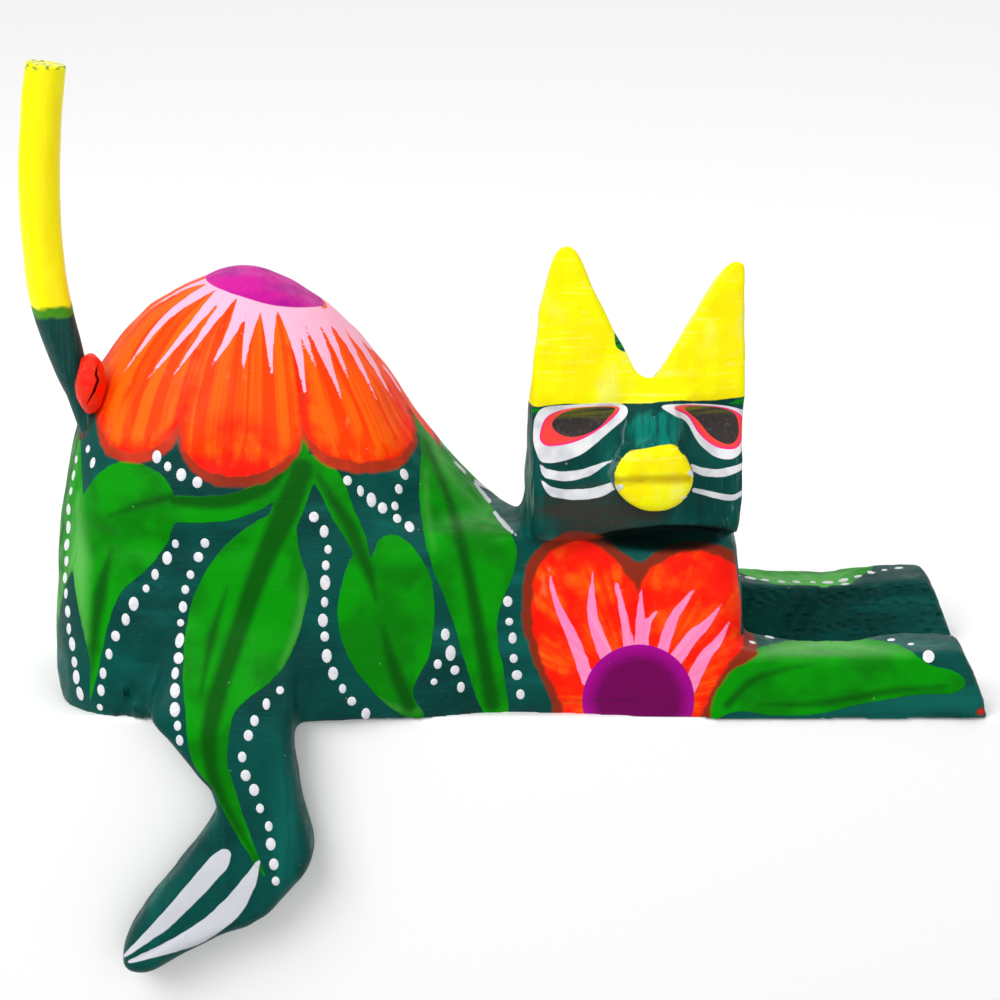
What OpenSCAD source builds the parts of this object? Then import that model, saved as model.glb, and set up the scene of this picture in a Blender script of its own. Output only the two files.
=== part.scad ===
// Carved and painted wooden shelf cat: a lying body with one leg over the shelf's edge,
// a head and a twig tail set into it.
// +Z is up, +X runs to the front paws and -Y is the side that the face looks to.
// The origin lies on the flat underside, on the plane of the shelf.

/* [Body] */
// Height of the top of the rump above the shelf
rump_h = 83.5; // [70:0.5:95]
// Where the top of the rump lies along the length
rump_x = -49; // [-55:0.5:-43]
// Height of the flat on the shoulders that carries the head
shoulder_h = 35; // [34:0.1:35.5]
// Depth of the flat cut on the near side for the hanging leg
leg_flat_y = -28; // [-28.5:0.1:-27]

/* [Forelegs] */
// Length from the origin to the tip of the front paws
paw_x = 95; // [85:0.5:98]
// Width of each foreleg
foreleg_w = 13; // [12:0.5:16]
// Height of each foreleg
foreleg_h = 13; // [10:0.5:15]
// Width of the gap between the forelegs
foreleg_gap = 32; // [26:0.5:34]

/* [Head] */
// Width of the head
head_w = 38.6; // [34:0.2:40]
// Depth of the head from its face to its back
head_d = 26; // [22:0.5:28]
// Turn of the face towards the front paws
head_turn = 9; // [0:1:15]
// Height of the ears' tips above the shelf
ear_h = 93.5; // [88:0.5:96]
// Height of the bottom of the notch between the ears
notch_h = 68.5; // [66:0.5:72]

/* [Hanging leg] */
// How far the leg stands out from the flat that carries it
leg_t = 9; // [7:0.5:10]
// How far the toes hang below the shelf
leg_drop = 50; // [44:0.5:54]

/* [Tail] */
// Radius of the twig
tail_r = 3.9; // [3.4:0.1:4.2]
// Height of the cut end of the tail above the shelf
tail_h = 124.5; // [121.5:0.5:132]
// Radius of the whittled tenon
tenon_r = 2.5; // [2.2:0.05:2.8]
// Length of the tenon inside the rump
tenon_l = 15; // [12:0.5:17]
// Play around the tenon
tenon_play = 0.05; // [0.02:0.01:0.09]
// Lean of the tenon from upright
tenon_lean = 17; // [14:0.5:20]

/* [Pegs and paste] */
// Radius of the peg in the neck
neck_peg_r = 3; // [2:0.1:4]
// Length of the peg in the neck
neck_peg_l = 22; // [16:0.5:26]
// Radius of the two pegs in the hanging leg
leg_peg_r = 2; // [1.5:0.1:2.5]
// Length of the pegs in the hanging leg
leg_peg_l = 14; // [10:0.5:15]
// Thickness of the bed of paste in a joint
paste_t = 0.8; // [0.5:0.1:1]

/* [Hidden] */
$fn = 48;
ring_n = 48;
// Gap that is kept between the tail and the skin of the rump
skin_gap = 0.35;

// Levels of the body: height, left end, right end, half width at the rump, near and far half
// widths at the chest and squareness. The lowest one is below the shelf's plane, where the
// torso is cut flat, and the step from 36 to 37 is the top of the shoulders.
body_levels = [
    [-3, -87.2, 46.4, 31, 27, 26, 4],
    [5, -88.4, 47.4, 31.8, 28.4, 28, 4],
    [14, -88.2, 47.4, 31.6, 28.6, 28, 4],
    [24, -87.8, 46.8, 31, 28.2, 26.5, 3.8],
    [31, -87.4, 46, 30.4, 26.8, 21, 3.5],
    [34, -87, 45.2, 30, 24.5, 14, 3.2],
    [36, -86.7, 43.5, 29.7, 21.5, 8, 3],
    [37, -86.6, -2, 29.6, 24, 12, 2.8],
    [46, -85.3, -11, 28.5, 25, 20, 2.5],
    [54, -83.2, -17, 26.8, 26, 24, 2.4],
    [62, -79.9, -21.8, 24, 24, 24, 2.3],
    [69, -75.3, -27.3, 20.4, 20.4, 20.4, 2.3],
    [75, -69.6, -33, 16.4, 16.4, 16.4, 2.2],
    [79.5, -62.8, -39.5, 11.5, 11.5, 11.5, 2.1],
    [82.3, -56, -44.5, 6.5, 6.5, 6.5, 2],
    [rump_h, rump_x - 1, rump_x + 1, 1, 1, 1, 2]
];
// Between these places the half width changes from the rump's to the chest's
chest_from = -32;
chest_to = -4;
// The body narrows a little at the waist
waist_x = 4;
waist_reach = 18;
waist_in = 3;
waist_top = 36.5;

// Fall of the notch and the ears' tops towards the back of the head
notch_slope = 16;
// The sloping plate is set so that the notch has its height at the front of the ears
front_rise = -9 * sin(notch_slope);
head_at = [25.3, -16.2];
head_bottom = shoulder_h + paste_t;
tail_y = -11;
// Point where the tenon's axis crosses the skin of the rump
tail_root = [-80.3, tail_y, 57];
// Centre line of the twig above its tenon: distance along the length, height and radius
tail_line = [
    [-85.2, tail_h, tail_r - 0.1],
    [-86, 119, tail_r],
    [-86.7, 112, tail_r],
    [-87.4, 102, tail_r + 0.1],
    [-87.4, 92, tail_r],
    [-86.8, 83, tail_r],
    [-85.6, 76, tail_r - 0.1],
    [-84, 70, tail_r - 0.4],
    [-82.6, 64.6, tail_r - 0.9],
    [-81.4, 60.6, tenon_r - 0.15]
];
leg_peg_at = [[-57, 12], [-45, 14]];
neck_peg_at = [26, -12];

// Half width of a level at a place along its length, on the near side (-1) or the far side (1)
function half_width(v, x, side) =
    let (
        t = min(max((x - chest_from) / (chest_to - chest_from), 0), 1),
        chest = side < 0 ? v[4] : v[5],
        waist = pow((x - waist_x) / waist_reach, 2)
    )
    v[3] + (chest - v[3]) * t - (v[0] < waist_top ? waist_in * exp(-waist) : 0);

// One level of the body, grown outwards by a margin
function level_ring(v, grow) = [
    for (i = [0 : ring_n - 1])
        let (
            a = 360 * (i + 0.5) / ring_n,
            u = cos(a),
            side = sign(sin(a)),
            bow = pow(1 - pow(abs(u), v[6]), 1 / v[6]),
            x = (v[1] + v[2]) / 2 + ((v[2] - v[1]) / 2 + grow) * u
        )
        [
            x,
            side * bow * (half_width(v, x, side) + grow),
            v[0] + (v[0] > 1 ? grow * v[0] / rump_h : 0)
        ]
];

// Faces of a closed tube of rings of n points, which run to the left about its way forward
function tube_faces(rings, n) = concat(
    [[for (i = [0 : n - 1]) i]],
    [for (k = [0 : rings - 2], i = [0 : n - 1])
        [k * n + i, (k + 1) * n + (i + 1) % n, k * n + (i + 1) % n]],
    [for (k = [0 : rings - 2], i = [0 : n - 1])
        [k * n + i, (k + 1) * n + i, (k + 1) * n + (i + 1) % n]],
    [[for (i = [n - 1 : -1 : 0]) (rings - 1) * n + i]]
);

module body(grow = 0) {
    polyhedron(
        points = [for (v = body_levels) each level_ring(v, grow)],
        faces = tube_faces(len(body_levels), ring_n),
        convexity = 4
    );
}

// Direction of a line of points at one of them, from its two neighbours
function line_way(p, i) =
    let (a = p[max(i - 1, 0)], b = p[min(i + 1, len(p) - 1)], d = [b[0] - a[0], b[1] - a[1]])
    d / norm(d);

module swept_twig(line, sides) {
    points = [
        for (k = [0 : len(line) - 1], i = [0 : sides - 1])
            let (w = line_way(line, k), a = 360 * i / sides, r = line[k][2])
            [line[k][0] - r * cos(a) * w[1], tail_y - r * sin(a), line[k][1] + r * cos(a) * w[0]]
    ];
    polyhedron(points = points, faces = tube_faces(len(line), sides), convexity = 4);
}

// Places what is drawn along +Z on the tenon's axis, with z = 0 at the skin of the rump
module on_tenon_axis() {
    translate(tail_root) rotate([0, 180 - tenon_lean, 0]) children();
}

// Turns a drawing of width and height into a plate that stands across the near side
module stand_up(y_front, thick) {
    translate([0, y_front + thick, 0]) rotate([90, 0, 0]) linear_extrude(thick) children();
}

module foreleg(y_mid) {
    top = foreleg_h;
    stand_up(y_mid - foreleg_w / 2, foreleg_w)
        polygon([
            [30, -1], [paw_x, -1], [paw_x - 1, 2.5], [paw_x - 4.5, top - 3],
            [paw_x - 8, top - 0.3], [paw_x - 14, top], [68, top - 0.8], [54, top - 0.3], [30, top + 3]
        ]);
}

// The folded far hind leg shows as a low swelling of the far side
module far_haunch() {
    translate([-50, 8, 8]) sphere(r = 25);
}

// Cut on the shoulders where the head sits
module head_seat() {
    translate([3.8, -40, shoulder_h]) cube([50, 80, 10]);
}

module leg_flat() {
    translate([-72, leg_flat_y - 20, -20]) cube([38, 20, 51]);
}

module torso() {
    color("darkslategray")
    difference() {
        union() {
            body();
            for (side = [-1, 1]) foreleg(side * (foreleg_gap + foreleg_w) / 2);
            far_haunch();
        }
        leg_flat();
        head_seat();
        translate([-150, -100, -100]) cube([300, 200, 100]);
        on_tenon_axis() translate([0, 0, -8]) cylinder(h = tenon_l + 9, r = tenon_r + tenon_play);
        on_tenon_axis() translate([0, 0, -8]) cylinder(h = 9, r = tenon_r + 0.7);
        translate([neck_peg_at[0], neck_peg_at[1], shoulder_h - neck_peg_l / 2])
            cylinder(h = neck_peg_l, r = neck_peg_r);
        leg_peg_holes();
    }
}

module leg_peg_holes() {
    for (at = leg_peg_at)
        translate([at[0], leg_flat_y + leg_peg_l / 2, at[1]]) rotate([90, 0, 0])
            cylinder(h = leg_peg_l, r = leg_peg_r);
}

// Front view of the head with its ears and the notch between them
module face_outline() {
    offset(r = 0.8) offset(delta = -0.8)
        polygon([
            [4.6, 20], [4.7, 50], [5.6, 62], [7.4, 82], [9.8, ear_h - 1.4],
            [12.4, ear_h], [14.8, ear_h - 1.4], [20.8, 78], [24.8, notch_h + 3.4],
            [26, notch_h + 0.5], [27.9, notch_h], [29.8, notch_h + 1.7], [35.3, 78.8],
            [41.8, ear_h - 2.6], [43.8, ear_h - 1.9], [46, ear_h - 3.6], [46.8, 82],
            [47, 64], [46.6, 45], [45.8, 34], [45.4, 20]
        ]);
}

// Side view of the head: distance behind the face and height
module head_side_outline() {
    polygon([
        [3.2, head_bottom], [0.5, 40], [0, 46], [0.6, 62], [0, 64], [1.6, ear_h + 1],
        [10, ear_h + 1], [head_d - 4, 68], [head_d, 60], [head_d, head_bottom]
    ]);
}

// Plate along the whole head that slopes down to the back, as the knife went through the notch
module ear_block() {
    translate([0, -40, notch_h]) rotate([90 - notch_slope, 0, 0]) translate([0, 0, -60])
        linear_extrude(80) translate([0, -front_rise]) scale([1, cos(notch_slope)])
            translate([0, -notch_h]) children();
}

module at_head() {
    translate([head_at[0], head_at[1], 0]) rotate([0, 0, head_turn]) children();
}

module head() {
    color("teal")
    difference() {
        union() {
            intersection() {
                ear_block() face_outline();
                at_head() translate([-head_w / 2, 0, 0]) rotate([90, 0, 90])
                    translate([-head_d / 2, 0, 0]) linear_extrude(head_w) head_side_outline();
            }
            at_head() snout();
            at_head() nose_bridge();
        }
        translate([neck_peg_at[0], neck_peg_at[1], shoulder_h - neck_peg_l / 2])
            cylinder(h = neck_peg_l, r = neck_peg_r);
    }
}

module snout() {
    hull() {
        translate([0.8, -head_d / 2 + 2, 51.5]) rotate([90, 0, 0]) cylinder(h = 1, r = 7.6);
        translate([0.8, -head_d / 2 - 3.6, 51.2]) rotate([90, 0, 0]) cylinder(h = 1, r = 6.4);
        translate([0.8, -head_d / 2 - 5, 51]) rotate([90, 0, 0]) cylinder(h = 0.6, r = 4.6);
    }
}

module nose_bridge() {
    hull() {
        translate([0.8, -head_d / 2 + 2, 62]) sphere(r = 4.2, $fn = 32);
        translate([0.8, -head_d / 2 + 0.5, 55]) sphere(r = 4, $fn = 32);
    }
}

// Side view of the hanging leg: thigh, shank and foot with its toes to the left
module leg_outline() {
    polygon([
        [-67.5, 3], [-65.5, 11], [-62, 19], [-57, 25], [-50, 28], [-43.5, 25.5], [-39, 18],
        [-38.8, 8], [-39.9, -2], [-39.3, -10], [-38, -18], [-36.4, -23.5], [-36.7, -27.5],
        [-40.4, -32.4], [-46.8, -39.8], [-53, -42], [-61, -45.8], [-68.5, -leg_drop],
        [-72.6, -leg_drop], [-74, -leg_drop + 1.5], [-73.3, -44], [-70, -38.5], [-65, -32],
        [-59, -24], [-55.9, -18.5], [-55.9, -13], [-57.3, -10.5], [-63.2, -2.5]
    ]);
}

module hanging_leg() {
    skin = leg_flat_y - paste_t - leg_t;
    color("darkcyan")
    difference() {
        union() {
            stand_up(skin + 3, leg_t - 3) leg_outline();
            stand_up(skin + 1, 2.1) offset(r = -1.2) leg_outline();
            stand_up(skin, 1.1) offset(r = -3) leg_outline();
        }
        leg_peg_holes();
    }
}

module twig() {
    difference() {
        swept_twig(tail_line, 24);
        body(skin_gap);
    }
}

module tail() {
    color("yellow")
    union() {
        twig();
        on_tenon_axis() translate([0, 0, -7.5]) cylinder(h = tenon_l + 7, r = tenon_r);
    }
}

module tail_filler() {
    color("orangered")
    difference() {
        translate([-79.6, -14.5, 65.2]) rotate([0, 10, 0]) scale([0.5, 0.6, 1]) sphere(r = 6.2, $fn = 32);
        swept_twig(tail_line, 24);
        on_tenon_axis() translate([0, 0, -9]) cylinder(h = 12, r = tenon_r);
        body(skin_gap);
    }
}

module neck_filler() {
    color("slategray")
    translate([0, 0, shoulder_h])
    difference() {
        intersection() {
            at_head() linear_extrude(paste_t) square([head_w - 0.6, head_d + 0.6], center = true);
            translate([24, -2, 0]) linear_extrude(paste_t) square([40, 38], center = true);
        }
        translate([neck_peg_at[0], neck_peg_at[1], -1]) cylinder(h = 3, r = neck_peg_r);
    }
}

module leg_filler() {
    color("slategray")
    difference() {
        stand_up(leg_flat_y - paste_t, paste_t)
            intersection() {
                offset(r = 0.6) leg_outline();
                translate([-70, 1]) square([36, 27.5]);
            }
        leg_peg_holes();
    }
}

module neck_peg() {
    color("burlywood")
    translate([neck_peg_at[0], neck_peg_at[1], shoulder_h - neck_peg_l / 2])
        cylinder(h = neck_peg_l, r = neck_peg_r);
}

module leg_pegs() {
    color("burlywood") leg_peg_holes();
}

torso();
head();
hanging_leg();
tail();
tail_filler();
neck_filler();
leg_filler();
neck_peg();
leg_pegs();
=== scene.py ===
"""A carved and painted shelf cat: its body, head, hanging leg and twig tail, and all their brushwork.

Sizes and places are in millimetres in the classes below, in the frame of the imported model: +Z is up,
+X runs to the front paws and -Y is the side that the face looks to. They become metres where a mesh
is made. A painted motif is an outline or a stroke on the painter's plane: x along the body, and a
height that is taken down a line of sight tilted like the painter's own, so that a motif keeps its
shape where it runs over an edge.
"""

import logging
import math
from collections.abc import Sequence
from dataclasses import dataclass
from enum import Enum

import bmesh
import bpy
import numpy as np
from mathutils import Matrix, Vector
from mathutils.bvhtree import BVHTree


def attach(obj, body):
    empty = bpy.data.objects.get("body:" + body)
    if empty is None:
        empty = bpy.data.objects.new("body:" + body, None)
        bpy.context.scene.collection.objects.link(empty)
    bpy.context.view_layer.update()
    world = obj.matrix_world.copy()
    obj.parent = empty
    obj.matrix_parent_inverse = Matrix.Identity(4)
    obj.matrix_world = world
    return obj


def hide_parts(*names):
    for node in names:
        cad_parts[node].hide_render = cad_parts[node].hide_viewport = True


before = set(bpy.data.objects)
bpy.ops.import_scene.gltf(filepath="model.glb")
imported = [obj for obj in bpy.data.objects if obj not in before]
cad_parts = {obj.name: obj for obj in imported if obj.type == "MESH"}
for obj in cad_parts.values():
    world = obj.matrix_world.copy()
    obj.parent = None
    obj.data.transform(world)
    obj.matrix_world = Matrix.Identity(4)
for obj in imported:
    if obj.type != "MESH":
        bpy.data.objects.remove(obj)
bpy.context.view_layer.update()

LOG = logging.getLogger("shelf_cat")
MM = 0.001
FIGURE = "figure"
TAIL_BODY = "tail"
# Tilt of the painter's line of sight below the horizon, and the depth at which heights are true
SIGHT_TILT = math.radians(16)
TRUE_DEPTH = 29.0
# Depth given to a point that lies far outside a motif
FAR_OUT = -5.0

Piece = bpy.types.Object
Socket = bpy.types.NodeSocket
Point = tuple[float, float]
Path = tuple[Point, ...]
Triple = tuple[float, float, float]
Colour = tuple[float, float, float, float]


class Side(Enum):
    """The two painted sides of the body, with the sign of their Y."""

    NEAR = -1
    FAR = 1


class Joinery(Enum):
    """How one solid is worked into another."""

    ADD = "UNION"
    CUT = "DIFFERENCE"
    KEEP_COMMON = "INTERSECT"


# ---- workbench


def put_down() -> None:
    """Leaves edit mode and deselects everything, so that the next operator acts on new work only."""
    if bpy.context.object and bpy.context.object.mode != "OBJECT":
        bpy.ops.object.mode_set(mode="OBJECT")
    for item in list(bpy.context.selected_objects):
        item.select_set(False)


def take_up(*pieces: Piece) -> None:
    """Selects only these pieces and makes the last one active.

    Args:
        pieces: The pieces that the next operator acts on.
    """
    put_down()
    for piece in pieces:
        piece.select_set(True)
    bpy.context.view_layer.objects.active = pieces[-1]


def apply_modifier(piece: Piece, kind: str, **settings: object) -> None:
    """Adds one modifier to a piece and applies it.

    Args:
        piece: The piece that is worked on.
        kind: Blender's name of the modifier's type.
        settings: The modifier's own properties.
    """
    take_up(piece)
    modifier = piece.modifiers.new(kind.lower(), kind)
    for name, value in settings.items():
        setattr(modifier, name, value)
    bpy.ops.object.modifier_apply(modifier=modifier.name)


def work_in(piece: Piece, other: Piece, how: Joinery = Joinery.CUT) -> None:
    """Cuts, adds or intersects a solid with another, which is used up."""
    apply_modifier(piece, "BOOLEAN", operation=how.value, object=other, solver="MANIFOLD")
    bpy.data.objects.remove(other)


def place_points(piece: Piece, points: np.ndarray) -> None:
    """Puts a mesh's points at places in millimetres, one row of x, y and z for each."""
    piece.data.vertices.foreach_set("co", (points * MM).astype(np.float32).ravel())
    piece.data.update()


def loft(name: str, rings: Sequence[np.ndarray]) -> Piece:
    """Bridges a row of equal rings into a closed solid.

    Args:
        name: Name of the new piece.
        rings: The rings in order, each an array of points in millimetres.

    Returns:
        The solid, at the origin.
    """
    put_down()
    count = len(rings[0])
    bpy.ops.mesh.primitive_circle_add(vertices=count, radius=MM)
    solid = bpy.context.object
    solid.name = name
    bpy.ops.object.mode_set(mode="EDIT")
    for _ in rings[1:]:
        bpy.ops.mesh.primitive_circle_add(vertices=count, radius=MM)
    bpy.ops.object.mode_set(mode="OBJECT")
    place_points(solid, np.concatenate(rings))
    bpy.ops.object.mode_set(mode="EDIT")
    shape = bmesh.from_edit_mesh(solid.data)
    for first in range(0, count * (len(rings) - 1), count):
        bpy.ops.mesh.select_all(action="DESELECT")
        shape = bmesh.from_edit_mesh(solid.data)
        shape.verts.ensure_lookup_table()
        for index in range(first, first + 2 * count):
            shape.verts[index].select = True
        shape.select_flush(True)
        bpy.ops.mesh.bridge_edge_loops()
    bpy.ops.mesh.select_all(action="SELECT")
    bpy.ops.mesh.fill_holes(sides=0)
    bpy.ops.mesh.normals_make_consistent(inside=False)
    bpy.ops.object.mode_set(mode="OBJECT")
    return solid


def block(name: str, low: Sequence[float], high: Sequence[float]) -> Piece:
    """A plain block that is used as a cutter or a start.

    Args:
        name: Name of the new piece.
        low: Its lowest corner in millimetres.
        high: Its highest corner in millimetres.

    Returns:
        The block, at the origin.
    """
    low, high = Vector(low), Vector(high)
    put_down()
    bpy.ops.mesh.primitive_cube_add(size=1, location=(low + high) / 2 * MM)
    piece = bpy.context.object
    piece.name = name
    piece.scale = (high - low) * MM
    settle(piece)
    return piece


def ball(name: str, centre: Sequence[float], radii: Sequence[float], rings: int = 24) -> Piece:
    """An egg-shaped solid.

    Args:
        name: Name of the new piece.
        centre: Its middle in millimetres.
        radii: Its half sizes along X, Y and Z.
        rings: Rings from pole to pole.

    Returns:
        The solid, at the origin.
    """
    put_down()
    bpy.ops.mesh.primitive_uv_sphere_add(
        segments=2 * rings, ring_count=rings, radius=1, location=Vector(centre) * MM
    )
    piece = bpy.context.object
    piece.name = name
    piece.scale = Vector(radii) * MM
    settle(piece)
    return piece


def rod(name: str, foot: Sequence[float], top: Sequence[float], radius: float,
        top_radius: float | None = None) -> Piece:
    """A round rod or a drill between two points.

    Args:
        name: Name of the new piece.
        foot: Its lower end in millimetres.
        top: Its upper end in millimetres.
        radius: Its radius at the foot.
        top_radius: Its radius at the top, if that differs.

    Returns:
        The rod, at the origin.
    """
    foot, top = Vector(foot), Vector(top)
    put_down()
    bpy.ops.mesh.primitive_cone_add(
        vertices=40, radius1=radius * MM, radius2=(top_radius or radius) * MM,
        depth=(top - foot).length * MM, location=(foot + top) / 2 * MM,
        rotation=(top - foot).to_track_quat("Z", "Y").to_euler(),
    )
    piece = bpy.context.object
    piece.name = name
    settle(piece)
    return piece


def settle(*pieces: Piece) -> None:
    """Moves each piece's place, turn and scale into its mesh."""
    take_up(*pieces)
    bpy.ops.object.transform_apply(location=True, rotation=True, scale=True)


def fuse(name: str, *pieces: Piece) -> Piece:
    """Joins overlapping solids into one object; recast then makes them one skin.

    Args:
        name: Name of the joined piece.
        pieces: The solids, the first of which stays.

    Returns:
        The joined piece.
    """
    take_up(*reversed(pieces))
    bpy.ops.object.join()
    pieces[0].name = name
    return pieces[0]


def recast(piece: Piece, grain: float, rounds: int) -> None:
    """Turns a solid into one skin of even grain in millimetres, and rounds its edges."""
    apply_modifier(piece, "REMESH", mode="VOXEL", voxel_size=grain * MM)
    apply_modifier(piece, "SMOOTH", factor=0.5, iterations=rounds)


def roughen(piece: Piece, kind: str, size: float, amount: float) -> None:
    """Works an uneven surface into a close skin, as a knife or a thumb leaves it.

    Args:
        piece: The piece.
        kind: Blender's name of the pattern: CLOUDS for waves or VORONOI for knife cuts.
        size: Size of the pattern in millimetres.
        amount: Full height of the pattern in millimetres.
    """
    pattern = bpy.data.textures.new(f"{piece.name}_{kind.lower()}", kind)
    pattern.noise_scale = size * MM
    apply_modifier(
        piece, "DISPLACE", texture=pattern, texture_coords="LOCAL", strength=amount * MM, mid_level=0.5
    )


# ---- brushwork on paper


def smooth_path(points: Path, closed: bool = False, steps: int = 7) -> np.ndarray:
    """Draws a smooth line through a few points.

    Args:
        points: The points that it passes.
        closed: True for a line that comes back to its start.
        steps: Points of the finished line for each one given.

    Returns:
        The line's points, one row each.
    """
    given = np.array(points, float)
    if closed:
        held = np.concatenate([given[-1:], given, given[:2]])
    else:
        held = np.concatenate([[2 * given[0] - given[1]], given, [2 * given[-1] - given[-2]]])
    share = (np.arange(steps) / steps)[:, None]
    drawn = []
    for before, start, end, after in zip(held, held[1:], held[2:], held[3:]):
        curve = (
            2 * start + (end - before) * share
            + (2 * before - 5 * start + 4 * end - after) * share**2
            + (3 * start - before - 3 * end + after) * share**3
        )
        drawn.append(curve / 2)
    if not closed:
        drawn.append(given[-1:])
    return np.concatenate(drawn)


def ease(value: np.ndarray, low: float, high: float) -> np.ndarray:
    """Runs smoothly from 0 at low to 1 at high."""
    share = np.clip((value - low) / (high - low), 0, 1)
    return share * share * (3 - 2 * share)


@dataclass(frozen=True)
class Stroke:
    """One stroke of the brush: the points it passes and its width, spread evenly over its length."""

    points: Path
    widths: tuple[float, ...] = (1.0,)

    def drawn(self) -> tuple[np.ndarray, np.ndarray]:
        """The stroke's line and the half width at each of its points."""
        line = smooth_path(self.points)
        share = np.linspace(0, 1, len(line))
        marks = np.linspace(0, 1, len(self.widths)) if len(self.widths) > 1 else [0.0]
        return line, np.interp(share, marks, self.widths) / 2


@dataclass(frozen=True)
class Leaf:
    """A painted leaf: its outline, its spine, its dark veins and its pale strokes of painted highlight."""

    outline: Path
    spine: Path
    veins: tuple[Stroke, ...] = ()
    lights: tuple[Stroke, ...] = ()


@dataclass(frozen=True)
class DotRow:
    """A row of dots made with the end of the brush's handle."""

    points: Path
    count: int
    size: float = 2.2


@dataclass
class Paper:
    """The points of a skin that one side of the brushwork can reach, laid out on a plane."""

    flat: np.ndarray
    reach: np.ndarray

    def _close(self, line: np.ndarray, margin: float) -> np.ndarray:
        """The numbers of the points that lie within a margin of a line."""
        low, high = line.min(axis=0) - margin, line.max(axis=0) + margin
        inside = ((self.flat > low) & (self.flat < high)).all(axis=1)
        return np.flatnonzero(inside & self.reach)

    def patch(self, outline: Path, smooth: bool = True) -> np.ndarray:
        """Depth of each point inside a closed outline, below zero outside it.

        Args:
            outline: The outline's points.
            smooth: False keeps the outline's corners.

        Returns:
            The depth of every point in millimetres.
        """
        line = smooth_path(outline, closed=True) if smooth else np.array(outline, float)
        depth = np.full(len(self.flat), FAR_OUT)
        close = self._close(line, -FAR_OUT)
        here = self.flat[close][:, None, :]
        start, end = line[None], np.roll(line, -1, axis=0)[None]
        way = end - start
        share = ((here - start) * way).sum(-1) / np.maximum((way * way).sum(-1), 1e-9)
        nearest = start + np.clip(share, 0, 1)[..., None] * way
        gap = np.sqrt(((here - nearest) ** 2).sum(-1)).min(axis=1)
        across = (start[..., 1] > here[..., 1]) != (end[..., 1] > here[..., 1])
        rise = np.where(np.abs(way[..., 1]) < 1e-9, 1e-9, way[..., 1])
        left = here[..., 0] < way[..., 0] * (here[..., 1] - start[..., 1]) / rise + start[..., 0]
        depth[close] = np.where((across & left).sum(axis=1) % 2 == 1, gap, -gap)
        return np.maximum(depth, FAR_OUT)

    def trace(self, stroke: Stroke) -> tuple[np.ndarray, np.ndarray, np.ndarray]:
        """Depth inside a stroke, and the place along and across its line.

        Args:
            stroke: The stroke.

        Returns:
            The depth, the length along the line and the signed offset from it, all in millimetres.
        """
        line, half = stroke.drawn()
        depth = np.full(len(self.flat), FAR_OUT)
        along = np.zeros(len(self.flat))
        across = np.zeros(len(self.flat))
        close = self._close(line, 14.0)
        here = self.flat[close][:, None, :]
        start, way = line[None, :-1], (line[1:] - line[:-1])[None]
        length = np.maximum(np.sqrt((way * way).sum(-1)), 1e-6)
        share = np.clip(((here - start) * way).sum(-1) / length**2, 0, 1)
        off = here - (start + share[..., None] * way)
        gap = np.sqrt((off * off).sum(-1))
        inside = half[None, :-1] + share * (half[1:] - half[:-1])[None] - gap
        rows = np.arange(len(close))
        depth[close] = inside.max(axis=1)
        best = gap.argmin(axis=1)
        travelled = np.concatenate([[0.0], np.cumsum(length[0])])[:-1][None] + share * length
        turn = way[..., 0] * off[..., 1] - way[..., 1] * off[..., 0]
        along[close] = travelled[rows, best]
        across[close] = (np.sign(turn) * gap)[rows, best]
        return np.maximum(depth, FAR_OUT), along, across

    def stroke(self, stroke: Stroke) -> np.ndarray:
        """Depth of each point inside a stroke."""
        return self.trace(stroke)[0]

    def spot(self, centre: Point, radii: Point) -> np.ndarray:
        """Depth of each point inside a round or oval spot."""
        off = (self.flat - np.array(centre)) / np.array(radii)
        depth = (1 - np.sqrt((off * off).sum(axis=1))) * min(radii)
        return np.where(self.reach, np.maximum(depth, FAR_OUT), FAR_OUT)


# Channels of paint that a skin carries, three to a vector: depths in millimetres, places along and
# across a motif, and shares from 0 to 1
CHANNELS: dict[str, tuple[str, str, str]] = {
    "leaf": ("leaf", "along", "across"),
    # rib: vein is the dark veins, light is the pale strokes of painted highlight on the leaves, dash is the
    # white dashes and toe stripes, and on the head the slot of painted shade under the chin
    "rib": ("vein", "light", "dash"),
    "petal": ("petal", "core", "ray"),
    "bloom": ("streak", "disc", "chest"),
    "eye": ("eye_white", "eye_red", "pupil"),
    "mark": ("whisker", "yellow", "green"),
    # tint: grey is the painted shade in the slot under the chin on the torso and seams, and the painted sheen
    # of the head's left side; brown is the painted shade under the snout; bare is the bare wood of drilled
    # holes, and on the head the painted highlight of the nose bridge
    "tint": ("grey", "brown", "bare"),
}
SHARES = ("along", "across", "ray", "chest", "grey", "brown", "bare")


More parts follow.
